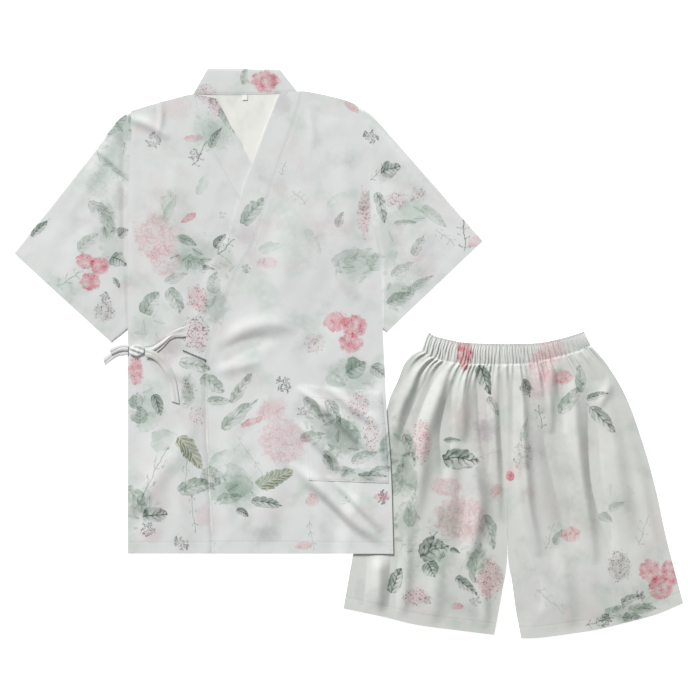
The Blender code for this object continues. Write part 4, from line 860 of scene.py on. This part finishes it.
def cotton(name):
    """The printed cotton: inks over white cloth, each kind of motif from its own layers of places. Its broad
    grey-brown washes and the grey between its stitches are painted shade.
    """
    s = Shader(name, 0.88, sheen=0.15)
    ground_colour = s.node("ShaderNodeRGB", {"name": "white"})
    white = ground_colour.outputs[0]
    printed = Value(s, s.node("ShaderNodeValue", {"name": "printed"}).outputs[0])
    broad, _ = s.noise(34, 3)
    uneven, warp = s.noise(9, 3)
    fine, _ = s.noise(2.6, 2)
    blotch = (0.55 * s.noise(17, 3)[0] + 0.45 * uneven).rise(0.30, 0.68)
    warp_u, warp_v, _ = s.parts(warp)
    slow_u, slow_v, _ = s.parts(s.noise(16, 1)[1])
    petals, rims, middles = blossom(s, 11.5, 4)
    rose_petals, rose_rims, rose_middles = blossom(s, 15, 5)
    leaf_wash, leaf_dark = leaflets(s, 22)
    dots, specks = dots_of(s, 7.0, 0.25, 0.5), dots_of(s, 3.6, 0.2, 0.4)
    squiggle = abs(s.noise(6.5, 1)[0] - 0.5).rise(0.03, 0.01) * uneven.rise(0.42, 0.55)
    stroke = abs(s.noise(15, 1)[0] - 0.5).rise(0.05, 0.015)
    washed = (0.35 * uneven + 0.75 * broad).clear()
    ground = mottled(s, white, broad, uneven)

    for kind in PRINTED:
        for layer in range(LAYERS[kind]):
            u, v, mark = s.parts(s.attribute(f"{kind} {layer}").outputs["Vector"])
            code = (mark - 1) / CODE_STEP
            ink = s.ink_of(code.math("FLOOR"))
            strength = code.fract() * mark.math("GREATER_THAN", 0.9995) * printed
            dark = None
            if kind in ("leaf", "fern", "twig", "star"):
                u, v = astray(u, v, slow_u, slow_v, 0.55)
            else:
                out = round_patch(u, v, warp_u, warp_v, 1.1 if kind == "wash" else 0.9)
            if kind == "leaf":
                wash, dark = leaf(s, u, v, ink, uneven, blotch)
            elif kind == "fern":
                wash, dark = fern(u, v, uneven, blotch)
            elif kind == "twig":
                wash = twig(u, v, uneven)
            elif kind == "star":
                wash = star(s, u, v, uneven).clear()
            elif kind == "wash":
                red, green, _ = s.parts(ink)
                leafy = (green - red).rise(0.0, 0.08)
                wash = out.rise(1.0, 0.45) * (0.4 + washed) + out.rise(1.05, 0.8) * leafy * leaf_wash * 0.6
                dark = out.rise(1.0, 0.75) * (leafy * leaf_dark * 0.75 + (1 - leafy) * rims * 0.25)
            elif kind == "bloom":
                wash = out.rise(1.0, 0.78) * (0.25 + 0.75 * blotch + 0.25 * rose_petals)
                dark = out.rise(0.97, 0.75) * (rose_rims * 0.3 + rose_middles * 0.7 + specks * 0.45 + squiggle * 0.3)
            elif kind == "hydrangea":
                wash = out.rise(1.05, 0.7) * (0.85 - 0.5 * petals + 0.9 * stroke) * (0.5 + 0.9 * blotch)
                dark = out.rise(0.95, 0.6) * (rims * 0.22 + middles * 0.5 + stroke * 0.15 + specks * 0.45)
            elif kind == "speckle":
                wash = out.rise(1.0, 0.5) * (0.4 + 0.6 * blotch) * (1 - 0.4 * petals)
                dark = out.rise(1.0, 0.8) * (dots + squiggle * 1.3 + specks * 0.5 + rims * 0.25)
            else:
                wash = out.rise(1.0, 0.55) * (0.35 + 0.5 * uneven) * (1 - 0.8 * petals)
                dark = out.rise(0.95, 0.7) * (rims * 0.4 + middles * 0.3)
            if dark:
                wash = wash + dark * 0.7
                ground = s.inked(ground, DEEP, (dark * strength).clear())
            ground = s.inked(ground, ink, (wash * strength).clear())
    far, run, sewn = s.parts(s.attribute("stitches").outputs["Vector"])
    line = sewn.math("GREATER_THAN", 0.98) * abs(far)
    thread = (1 - line.rise(0.4, 0.9)) * sewn.math("GREATER_THAN", 0.98)
    dash = abs((run / STITCH).fract() - 0.5).rise(0.40, 0.30)
    # The grey between the stitches is painted shade of the stitch line's dent; by the left front's free edge it
    # stands also for the shade under that edge. The stitches themselves are the thread's own white.
    ground = s.inked(ground, (0.70, 0.70, 0.70, 1), thread * (1 - dash))
    s.colour(s.mix(thread * dash * 0.5, ground, white))
    thread_x, thread_y, _ = s.parts(s.place)
    turns = 2 * math.pi / (THREADS_APART * MM)
    weave = (thread_x * turns).math("SINE") * (thread_y * turns).math("SINE")
    slub, _ = s.noise(1.4, 2, stretch=(1, 0.2, 1))
    seam = (1 - line.rise(0.3, 2.6)) * sewn.math("GREATER_THAN", 0.98)
    s.bump(0.12 * weave + 0.35 * slub + 0.5 * fine + 1.2 * uneven - 1.1 * seam * (1 - 0.5 * dash), 0.12)
    return s.material


def cloth_at(x, y):
    """Which cloth of the set a motif at this place is printed on."""
    if y > TOP_AT[1] - 8 or within(np.array([[x, y]]), TOP_OUT)[0]:
        return "body"
    if x > 0 and y < 45:
        return "shorts"
    return "right sleeve" if x < -300 else "left sleeve"


def motifs():
    """All motifs as kind, cloth, x, y, half length, half width, turn, ink and strength."""
    rows = [("wash", *row) for row in WASHES]
    rows += FLOWERS
    rows += [("fern" if row[5] == "fern" else "leaf", *row) for row in LEAVES]
    rows += [("twig", *row) for row in TWIGS]
    rows += [("star", x, y, size, size, 20 * k, "ink", strength) for k, (x, y, size, strength) in enumerate(STARS)]
    return [(row[0], cloth_at(row[1], row[2]), *row[1:]) for row in rows]


def lay_print(mesh, cloth):
    """Marks on each point of a piece where it lies in the motifs near it, a layer for those that would touch."""
    xy = np.array([(v.co.x, v.co.y) for v in mesh.vertices]) / MM
    count = len(xy)
    places, taken = {}, {}
    numbers = {name: k for k, name in enumerate(INKS)}
    for kind, printed_on, x, y, half_length, half_width, turn, ink, strength in motifs():
        inside = cloth == "inside" and printed_on == "body" and y < NECK_CLEAR
        if printed_on != cloth and not inside:
            continue
        angle = math.radians(turn)
        away = xy - np.array([x, y])
        along_it = away[:, 0] * math.cos(angle) + away[:, 1] * math.sin(angle)
        across_it = away[:, 1] * math.cos(angle) - away[:, 0] * math.sin(angle)
        past = np.maximum(abs(along_it) - half_length, abs(across_it) - half_width)
        near = past < MARGIN
        if not near.any():
            continue
        halo = past < MARGIN + APART
        free = [n for n in range(LAYERS[kind]) if not (taken.get((kind, n), np.zeros(count, bool)) & halo).any()]
        if not free:
            print("no layer left for a", kind, "at", x, y, "on", mesh.name)
            continue
        key = (kind, free[0])
        taken[key] = taken.get(key, np.zeros(count, bool)) | near
        place = places.setdefault(key, np.zeros((count, 3)))
        mark = np.full(count, 1 + CODE_STEP * (numbers[ink] + STRONGEST * strength))
        place[near] = np.column_stack([along_it / half_length, across_it / half_width, mark])[near]
    for (kind, layer), place in places.items():
        marks = mesh.attributes.new(f"{kind} {layer}", "FLOAT_VECTOR", "POINT")
        marks.data.foreach_set("vector", place.astype(np.float32).ravel())


def uneven_waves(share, count, seed):
    """From 0 to 1 and back about this many times, in uneven widths and depths."""
    turn = 2 * math.pi * share
    drift = 0.35 / count * (np.sin(2.3 * turn + seed) + 0.7 * np.sin(5.1 * turn + 2 * seed))
    depth = 0.72 + 0.28 * np.sin(4.3 * turn + 3 * seed)
    return depth * (0.5 - 0.5 * np.cos(2 * math.pi * count * (share + drift)))


def gathers_down(share, below):
    """The gathers this far below the casing."""
    total = gathers_at(share) * np.exp(-((below / GATHER_FADE) ** 2))
    for count, height, start, fade in GATHER_RUNS:
        length = fade * (0.75 + 0.5 * uneven_waves(share, 5, count))
        total += height * uneven_waves(share, count, count) * ease(below / start) * np.exp(-((below / length) ** 2))
    return total


# Laying a grid as cloth
def patch(upper, lower, start, end, u, v):
    """Points between four edges: u runs from start to end, v from upper to lower."""
    up, lo, st, en = along(upper, u), along(lower, u), along(start, v), along(end, v)
    u, v = u[:, None], v[:, None]
    first, last = np.array(upper[0], float), np.array(upper[-1], float)
    foot, far = np.array(lower[0], float), np.array(lower[-1], float)
    corners = (1 - u) * (1 - v) * first + u * (1 - v) * last + (1 - u) * v * foot + u * v * far
    return (1 - v) * up + v * lo + (1 - u) * st + u * en - corners


def cloth_grid(columns, rows, place):
    """A grid of cloth, and the shares across and down at each of its points. place(u, v) gives each point."""
    body = bmesh.new()
    bmesh.ops.create_grid(body, x_segments=columns, y_segments=rows, size=0.5)
    shares = np.clip([(v.co.x + 0.5, 0.5 - v.co.y) for v in body.verts], 0, 1)
    for vert, point in zip(body.verts, place(*shares.T) * MM):
        vert.co = point
    body.normal_update()
    if sum(face.normal.z for face in body.faces) < 0:
        bmesh.ops.reverse_faces(body, faces=body.faces)
    return body, *shares.T


def finished(name, body, material):
    """The piece as an object in place, riding with the set and standing for its node."""
    mesh = bpy.data.meshes.new(name + "_cloth")
    for edge in body.edges:
        edge.smooth = not edge.is_boundary
    body.to_mesh(mesh)
    body.free()
    mesh.shade_smooth()
    if material != LINEN_TAG:
        lay_print(mesh, PRINTED_ON.get(name, "body"))
    mesh.materials.append(material)
    obj = bpy.data.objects.new(name + "_cloth", mesh)
    bpy.context.scene.collection.objects.link(obj)
    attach(obj, ROOT)
    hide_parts(name)
    return obj


def walled(obj, thickness):
    wall = obj.modifiers.new("wall", "SOLIDIFY")
    wall.thickness = thickness * MM
    wall.offset = -1.0
    wall.use_even_offset = False
    wall.use_rim = True
    return obj


def declared(obj):
    """Returns the piece as it is."""
    return obj


def sheet(name, columns, rows, place, material, thickness=CLOTH, sewn=None):
    """A sheet of cloth standing for a node. sewn(u, v) gives how far each point is from its line of stitches, and
    how far along it."""
    body, u, v = cloth_grid(columns, rows, place)
    obj = walled(finished(name, body, material), thickness)
    if sewn:
        far, run = sewn(u, v)
        marks = obj.data.attributes.new("stitches", "FLOAT_VECTOR", "POINT")
        marks.data.foreach_set("vector", np.column_stack([far, run, np.ones(len(u))]).astype(np.float32).ravel())
    return declared(obj)


def nearer(*lines):
    """Of several lines of stitches, the nearest at each point."""
    far, run = lines[0]
    for other_far, other_run in lines[1:]:
        closer = abs(other_far) < abs(far)
        far, run = np.where(closer, other_far, far), np.where(closer, other_run, run)
    return far, run


def on_edges(upper, lower, start, end, at, top_of):
    """A place function for a sheet between four edges, whose top side is at this height."""
    edges = [placed(rows, at) for rows in (upper, lower, start, end)]

    def place(u, v):
        xy = patch(*edges, u, v)
        return np.column_stack([xy, top_of(xy, u, v)])

    return place


def soft_edge(distance_to_edge, drop, reach):
    """How far a folded edge curves down over its last few millimetres."""
    return -drop * np.exp(-((distance_to_edge / reach) ** 2))


def woven_tape():
    s = Shader("white woven tape", 0.7, sheen=0.1)
    x, y, _ = s.parts(s.place)
    ribs = (x * (2 * math.pi / (0.6 * MM))).math("SINE") * (y * (2 * math.pi / (0.9 * MM))).math("SINE")
    uneven, _ = s.noise(3, 2)
    s.colour(s.mix((0.25 + 0.5 * uneven + 0.15 * ribs).clear(), (0.93, 0.93, 0.91, 1), (0.82, 0.83, 0.81, 1)))
    s.bump(ribs * 0.5 + uneven, 0.1)
    return s.material


def white_paper():
    """A lit sheet of paper, as bright as the photograph's ground."""
    s = Shader("white paper", 0.9)
    grain, _ = s.noise(2, 4)
    s.colour(s.mix(grain, (0.60, 0.60, 0.60, 1), (0.64, 0.64, 0.64, 1)))
    s.surface.inputs["Emission Color"].default_value = (1, 1, 1, 1)
    s.surface.inputs["Emission Strength"].default_value = 0.78
    s.bump(grain, 0.05)
    return s.material


def cloth_of(material, name, white, printed):
    """The printed cotton on this ground, printed this strongly."""
    material.name = name
    material.node_tree.nodes["white"].outputs[0].default_value = white
    material.node_tree.nodes["printed"].outputs[0].default_value = printed
    return material


COTTON = cloth_of(cotton("printed cotton"), "printed cotton", TOP_WHITE, 1.0)
SHORTS_COTTON = cloth_of(COTTON.copy(), "printed cotton of the shorts, in painted shade", SHORTS_WHITE_SHADED, 1.0)
TIE_COTTON = cloth_of(COTTON.copy(), "cotton of the tie", TIE_WHITE, 1.0)
WRONG_SIDE = cloth_of(COTTON.copy(), "wrong side of the printed cotton", INNER_WHITE, 0.5)
PRINTED_ON = {
    "top_back": "inside",
    "sleeve_right": "right sleeve",
    "sleeve_left": "left sleeve",
    "tie_strip": "tie",
    "tie_end_side": "tie",
    "tie_loop": "tie",
    "tie_end_down": "tie",
    "tie_knot": "tie",
    "shorts_front_right": "shorts",
    "shorts_front_left": "shorts",
    "shorts_back_right": "shorts",
    "shorts_back_left": "shorts",
    "waist_front": "shorts",
    "waist_back": "shorts",
}
LINEN_TAG = woven_tape()


# The top
BACK_IN = 0.003  # how far its sides lie inside the fronts' sides, as a share of its width
BACK_UP = 0.998  # how much of the fronts' length it has


def build_back():
    upper = SHOULDER_RIGHT[::-1] + NECK_SEAM[1:] + SHOULDER_LEFT

    def top_of(xy, u, v):
        return base_height(xy) + WALL + ripples(xy, 3, 0.10, 60) * ease(v / 0.05)

    place = on_edges(upper, [RIGHT_HEM, LEFT_HEM], RIGHT_SIDE, LEFT_SIDE, TOP_AT, top_of)

    def inset(u, v):
        return place(BACK_IN + (1 - 2 * BACK_IN) * u, BACK_UP * v)

    sheet("top_back", 64, 110, inset, WRONG_SIDE)


def hem_of_front(u, v):
    return (1 - v) * abs(HEM_Y) - HEM, u * FRONT_HEM_RUN


def build_front_right():
    def top_of(xy, u, v):
        free = ease(-depth_in(xy, LEFT_COVER) / SETTLE)
        top = front_right_low(xy) + WALL + ripples(xy, 11, 0.16, 55) * free
        edge = distance(xy, smooth_line(placed(OVERLAP_EDGE, TOP_AT), 40), closed=False)
        return top + to_the_band(xy, UNDERLAP_SEAM) * free - 2.2 * np.exp(-((edge / 4.0) ** 2))

    place = on_edges(SHOULDER_RIGHT[::-1], [RIGHT_HEM, (92, HEM_Y)], RIGHT_SIDE, UNDERLAP_SEAM + UNDERLAP_EDGE[1:],
                     TOP_AT, top_of)
    sheet("top_front_right", 84, 220, place, COTTON, sewn=hem_of_front)


def to_the_band(xy, seam_rows):
    """How a panel rises to the band that is sewn to it."""
    return 0.8 * np.exp(-((distance(xy, smooth_line(placed(seam_rows, TOP_AT), 18), closed=False) / 14) ** 2))


def left_front_top(xy):
    inward = ease(depth_in(xy, TOP_LEFT_OUT) / 25)
    return front_left_low(xy) + WALL + ripples(xy, 17, 0.18, 55) * inward + to_the_band(xy, OVERLAP_SEAM)


def build_front_left():
    place = on_edges(SHOULDER_LEFT, [(-76, HEM_Y), LEFT_HEM], OVERLAP_SEAM + OVERLAP_EDGE[1:], LEFT_SIDE, TOP_AT,
                     lambda xy, u, v: left_front_top(xy))

    def sewn(u, v):
        # The stitches by the free edge carry grey painted shade between them, standing also for the shade under that
        # edge.
        return nearer(hem_of_front(u, v), (u * FRONT_WIDTH - EDGE_STITCH, v * abs(HEM_Y)))

    sheet("top_front_left", 92, 232, place, COTTON, sewn=sewn)


def build_pocket():
    width, height = length_of(POCKET_TOP), length_of(POCKET_LEFT)

    def top_of(xy, u, v):
        side = np.minimum(np.minimum(u, 1 - u) * width, (1 - v) * height)
        mouth = v * height
        hem = 0.5 * (1 - ease((mouth - 20) / 2.5))
        edge = soft_edge(np.minimum(side, mouth), 0.7, 3.2)
        return left_front_top(xy) + SEAM + CLOTH + 0.35 * hem * ease(side / 4) + edge + 0.3

    place = on_edges(POCKET_TOP, POCKET_FOOT, POCKET_LEFT, POCKET_RIGHT, TOP_AT, top_of)

    def sewn(u, v):
        sides = [(edge * width - EDGE_STITCH, v * height) for edge in (u, 1 - u)]
        return nearer((v * height - HEM, u * width), ((1 - v) * height - EDGE_STITCH, u * width), *sides)

    sheet("pocket", 54, 62, place, COTTON, sewn=sewn)


def band_edges(seam_rows, lip_rows):
    """A band's seam edge, just clear of the panel it is sewn to, and its free edge."""
    def edges(u):
        seam, lip = along(placed(seam_rows, TOP_AT), u), along(placed(lip_rows, TOP_AT), u)
        out = (lip - seam) / np.linalg.norm(lip - seam, axis=1)[:, None]
        return seam + out * CLOSED, lip

    return edges


def band_place(seam_rows, lip_rows, low_of):
    edges = band_edges(seam_rows, lip_rows)

    def place(u, v):
        seam, lip = edges(v)
        xy = seam * (1 - u[:, None]) + lip * u[:, None]
        xy[:, 1] -= 0.8 * (1 - ease(v / 0.02))
        across = u * BAND_WIDTH
        top = low_of(xy) + BAND + soft_edge(across, 0.2, 2.0) + soft_edge(BAND_WIDTH - across, 0.25, 1.6)
        return np.column_stack([xy, top + 0.12 * np.sin(across / 6.5)])

    return place


def build_collar():
    def back_top(xy, u, v):
        down = v * BAND_WIDTH
        return BAND + soft_edge(down, 0.6, 2.0) + soft_edge(BAND_WIDTH - down, 0.4, 2.0) + ripples(xy, 5, 0.06, 30)

    low_edge = [(x, y + CLOSED) for x, y in NECK_SEAM]
    place = on_edges(COLLAR_TOP, low_edge, [COLLAR_TOP[0], low_edge[0]], [COLLAR_TOP[-1], low_edge[-1]],
                     TOP_AT, back_top)
    thick = BAND - 0.2
    sheet("collar_back", 50, 20, place, COTTON, thick,
          lambda u, v: ((1 - v) * BAND_WIDTH - EDGE_STITCH, u * NECK_RUN))
    right = band_place(UNDERLAP_SEAM, UNDERLAP_LIP, lambda p: base_height(p) + FRONT_LOW)
    left = band_place(OVERLAP_SEAM, OVERLAP_LIP, lambda p: base_height(p) + FRONT_LOW + over_right(p))
    for name, band in (("collar_right", right), ("collar_left", left)):
        sheet(name, 20, 170, band, COTTON, thick, lambda u, v: (u * BAND_WIDTH - EDGE_STITCH, v * BAND_RUN))


TOP_SHARE = 0.8  # of the rows round a sleeve, those on its upper side


def build_sleeve(name, upper, lower, armhole, outward, seed):
    """A flattened tube, open at the armhole and the cuff, its back on the surface."""
    hole = [(x + outward * CLOSED, y) for x, y in armhole]
    cuff = [upper[-1], lower[-1]]
    edges = [placed(rows, TOP_AT) for rows in (upper, lower, hole, cuff)]
    drop = length_of(armhole)

    def place(u, around):
        shown = around <= TOP_SHARE
        v = np.where(shown, around / TOP_SHARE, (1 - around) / (1 - TOP_SHARE))
        v = np.clip(v, 0, 1)
        xy = patch(*edges, u, v)
        crown = SLEEVE_TOP + SLEEVE_LOFT * np.sin(math.pi * v) ** 0.7 * ease(u / 0.12)
        crown += folds_at(xy, SLEEVE_FOLDS, TOP_AT) * ease(u / 0.06) * ease(np.minimum(v, 1 - v) / 0.05)
        crown += ripples(xy, seed, 0.2, 50) * ease(u / 0.1) * ease(np.minimum(v, 1 - v) / 0.08)
        crown = np.maximum(crown, SLEEVE_TOP - 0.4)
        edge = np.minimum(v, 1 - v) * drop
        round_in = np.sqrt(1 - (1 - np.clip(edge / 2.5, 0, 1)) ** 2)
        middle = SLEEVE_TOP / 2
        z = np.where(shown, middle + (crown - middle) * round_in, middle * (1 - round_in))
        return np.column_stack([xy, z])

    body, _, _ = cloth_grid(84, 150, place)
    bmesh.ops.remove_doubles(body, verts=body.verts, dist=0.01 * MM)
    bmesh.ops.recalc_face_normals(body, faces=body.faces)
    declared(walled(finished(name, body, COTTON), CLOTH))


def tape(name, centre, width, heights, thick, cut=0.0):
    """A flat tape along a centre line, its last edge cut aslant."""
    line = np.array([row[:2] for row in centre], float) + np.array(TOP_AT)
    run = np.concatenate([[0], np.cumsum(np.linalg.norm(np.diff(line, axis=0), axis=1))])

    def place(u, v):
        at = along(line, v)
        ahead = along(line, np.clip(v + 0.01, 0, 1)) - along(line, np.clip(v - 0.01, 0, 1))
        ahead /= np.linalg.norm(ahead, axis=1)[:, None]
        side = np.stack([-ahead[:, 1], ahead[:, 0]], axis=1)
        xy = at + side * width * (0.5 - u[:, None])
        xy += ahead * (cut * (0.5 - u) * ease((v - 0.9) / 0.1))[:, None]
        low = np.interp(v * run[-1], run, heights)
        crease = 0.7 * np.exp(-(((u - 0.42 - 0.1 * np.sin(5 * v)) / 0.10) ** 2))
        return np.column_stack([xy, low + thick - 0.8 + TIE_CROWN * np.sin(math.pi * u) ** 0.7 - crease])

    sheet(name, 16, 40, place, TIE_COTTON, thick - 0.7)


def build_tie():
    rows = np.array(TIE_STRIP, float)
    upper, lower = placed(rows[:, :2], TOP_AT), placed(rows[:, 2:], TOP_AT)
    middles = (np.array(upper) + np.array(lower)) / 2
    heights = front_right_low(middles) + WALL + LAY + TIE_CLEAR
    heights[0] = (over_right(middles[:1]) + FRONT_LOW + base_height(middles[:1]))[0] + 0.2
    run = np.concatenate([[0], np.cumsum(np.linalg.norm(np.diff(middles, axis=0), axis=1))])

    def strip_place(u, v):
        xy = along(upper, v) * (1 - u[:, None]) + along(lower, v) * u[:, None]
        xy += TIE_SEWN_IN * (1 - ease(v / 0.1))[:, None]
        low = np.interp(v * run[-1], run, heights)
        twist = 1.1 * np.sin(math.pi * np.clip(u * 1.6 - 0.5 * v, 0, 1)) + 0.6 * np.sin(9 * u + 4 * v)
        top = low + TIE_THICK - 0.4 + twist * ease(np.minimum(u, 1 - u) / 0.15) * ease(v / 0.2)
        return np.column_stack([xy, top])

    sheet("tie_strip", 24, 80, strip_place, TIE_COTTON, TIE_THICK - 0.5)
    tape("tie_end_side", TIE_END_SIDE, TIE_WIDTH - 1, [row[2] for row in TIE_END_SIDE], TIE_THICK, 4)
    tape("tie_loop", TIE_LOOP, TIE_LOOP_WIDTH, [row[2] for row in TIE_LOOP], TIE_LOOP_THICK)
    down = np.array(TIE_END_DOWN, float)
    rest = front_right_low(down[:, :2] + np.array(TOP_AT)) + WALL + LAY + TIE_CLEAR
    tape("tie_end_down", TIE_END_DOWN, TIE_WIDTH, rest + down[:, 2], TIE_THICK, 6)


def build_knot():
    at = np.array(KNOT_AT) + np.array(TOP_AT)
    low = float(front_right_low(at[None])[0]) + WALL + LAY
    body = bmesh.new()
    bmesh.ops.create_uvsphere(body, u_segments=48, v_segments=28, radius=1.0)
    for vert in body.verts:
        x, y, z = vert.co
        wrap = 0.22 * math.cos(6.5 * y + 3.6 * x) + 0.05 * math.sin(9 * x - 2 * y)
        swell = 1 + 0.4 * wrap * max(z, 0) ** 0.3
        rise = max(z, -KNOT_FOOT) if z < 0 else 0.8 * z**0.6
        vert.co = (
            (at[0] + x * KNOT_SIZE[0] / 2 * swell) * MM,
            (at[1] + y * KNOT_SIZE[1] / 2 * swell) * MM,
            (low + (rise + KNOT_FOOT) / (1 + KNOT_FOOT) * KNOT_SIZE[2] * (0.55 + 0.8 * wrap * max(z, 0) ** 0.5)) * MM,
        )
    finished("tie_knot", body, TIE_COTTON)


def build_tag():
    width, height = TAG_SIZE

    def place(u, v):
        x = TOP_AT[0] + TAG_AT[0] + (u - 0.5) * width
        y = TOP_AT[1] + TAG_AT[1] + (0.5 - v) * height
        z = WALL + SEAM + TAG_THICK + 0.15 * np.sin(3 * u + v)
        return np.column_stack([x, y, z])

    obj = sheet("neck_tag", 8, 8, place, LINEN_TAG, TAG_THICK - 0.3)


# The shorts
ROWS_CLOSER = 1.25  # over 1, a leg's rows lie closer together below the casing


def leg_top(xy, u, v, outline, first_share, last_share, length):
    share = first_share + (last_share - first_share) * u
    below = v * length
    free = ease((4 - depth_in(xy, TOP_OUT)) / SETTLE)
    inward = ease(depth_in(xy, outline) / (0.6 * LOFT_REACH))
    stand = lofted(xy, outline, SHORTS_LOFT) + LEG_DEEPER * folds_at(xy, SHORTS_FOLDS, SHORTS_AT) * inward
    stand += ripples(xy, 23, 0.25, 60) * inward
    return WALL + LAY + WALL + np.maximum(stand, 0) * free + gathers_down(share, below) * ease(free + 0.2)


def build_legs():
    legs = [
        ("right", CASING_RIGHT, HEM_RIGHT, OUTSEAM_RIGHT, RISE + INSEAM_RIGHT, RIGHT_LEG_OUT, -1),
        ("left", CASING_LEFT, HEM_LEFT, RISE + INSEAM_LEFT, OUTSEAM_LEFT, LEFT_LEG_OUT, 1),
    ]
    for side, casing, hem, start, end, outline, sign in legs:
        length = length_of(start)
        shares = (0.0, 0.5) if side == "right" else (0.5, 1.0)
        upper = [(x, y - CLOSED) for x, y in casing]
        place = on_edges(
            upper, hem, [upper[0], *start[1:]], [upper[-1], *end[1:]], SHORTS_AT,
            lambda xy, u, v, o=outline, s=shares, n=length: leg_top(xy, u, v, o, *s, n),
        )

        def fanned(u, v, place=place, sign=sign, side=side):
            points = place(u, v**ROWS_CLOSER)
            inner = 1 - u if side == "right" else u
            points[:, 0] += sign * CLOSED * np.exp(-inner / 0.01)
            return points

        def sewn(u, v, length=length):
            return (1 - v**ROWS_CLOSER) * length - HEM, u * LEG_HEM_RUN

        sheet(f"shorts_front_{side}", 200, 116, fanned, SHORTS_COTTON, sewn=sewn)

        def back_place(u, v, place=place):
            points = place(u, v)
            points[:, 2] = CLOTH
            return points

        sheet(f"shorts_back_{side}", 24, 40, back_place, SHORTS_COTTON)


def waist_xy(u, v):
    """The casing of the waist, both halves: u across, v down."""
    right, left = np.clip(u * 2, 0, 1), np.clip(u * 2 - 1, 0, 1)

    def across(right_rows, left_rows):
        on_right, on_left = along(placed(right_rows, SHORTS_AT), right), along(placed(left_rows, SHORTS_AT), left)
        return np.where((u > 0.5)[:, None], on_left, on_right)

    return across(WAIST_RIGHT, WAIST_LEFT) * (1 - v[:, None]) + across(CASING_RIGHT, CASING_LEFT) * v[:, None]


def build_waist():
    def front_place(u, v):
        xy = waist_xy(u, v)
        frill = uneven_waves(u, 47, 3)
        xy[:, 1] -= 2.2 * frill * (1 - ease(v / 0.12))
        crimp = 2.5 * uneven_waves(u + 0.004 * np.sin(5 * v), 63, 8) * np.sin(math.pi * v)
        top = WALL + LAY + WALL + gathers_at(u + 0.003 * np.sin(3 * v + 40 * u)) * (0.55 + 0.45 * v) + crimp
        return np.column_stack([xy, top])

    def back_place(u, v):
        xy = waist_xy(u, v)
        xy[:, 1] += 2.4 * (1 - v)
        return np.column_stack([xy, CLOTH + 0.2 + 1.2 * uneven_waves(u, 52, 9) * (1 - v)])

    def sewn(u, v):
        return nearer(*[(down * CASING - EDGE_STITCH, u * CASING_RUN) for down in (v, 1 - v)])

    sheet("waist_front", 400, 18, front_place, SHORTS_COTTON, sewn=sewn)
    sheet("waist_back", 300, 8, back_place, SHORTS_COTTON, sewn=sewn)


def build_floor():
    body = bmesh.new()
    bmesh.ops.create_grid(body, x_segments=2, y_segments=2, size=3.0)
    mesh = bpy.data.meshes.new("floor")
    body.to_mesh(mesh)
    body.free()
    floor = bpy.data.objects.new("floor", mesh)
    bpy.context.scene.collection.objects.link(floor)
    mesh.materials.append(white_paper())
    mesh.transform(Matrix.Translation((0, 0, -0.0005)))


def build_window():
    """Soft light from above the collar and a little to the left."""
    data = bpy.data.lights.new("window", "SUN")
    data.energy = WINDOW_POWER
    data.angle = WINDOW_SPREAD
    light = bpy.data.objects.new("window", data)
    bpy.context.scene.collection.objects.link(light)
    light.rotation_euler = Vector(WINDOW_SHINES).to_track_quat("-Z", "Y").to_euler()


def build_camera():
    data = bpy.data.cameras.new("camera")
    data.sensor_width = SENSOR
    data.lens = SENSOR * CAMERA_HEIGHT / FRAME_WIDTH
    data.clip_end = 100
    camera = bpy.data.objects.new("camera", data)
    bpy.context.scene.collection.objects.link(camera)
    camera.location = (FRAME_CENTRE[0] * MM, FRAME_CENTRE[1] * MM, CAMERA_HEIGHT * MM)
    bpy.context.scene.camera = camera


build_camera()
build_back()
build_front_right()
build_front_left()
build_pocket()
build_collar()
build_sleeve("sleeve_right", SLEEVE_RIGHT_UPPER, SLEEVE_RIGHT_LOWER, ARMHOLE_RIGHT, -1, 31)
build_sleeve("sleeve_left", SLEEVE_LEFT_UPPER, SLEEVE_LEFT_LOWER, ARMHOLE_LEFT, 1, 37)
build_tie()
build_knot()
build_tag()
build_legs()
build_waist()
build_floor()
build_window()
world = bpy.data.worlds.new("studio")
bpy.context.scene.world = world
world.use_nodes = True
world.node_tree.nodes["Background"].inputs["Color"].default_value = (1, 1, 1, 1)
world.node_tree.nodes["Background"].inputs["Strength"].default_value = SKY_STRENGTH
bpy.context.scene.view_settings.view_transform = "Standard"

bpy.context.view_layer.update()
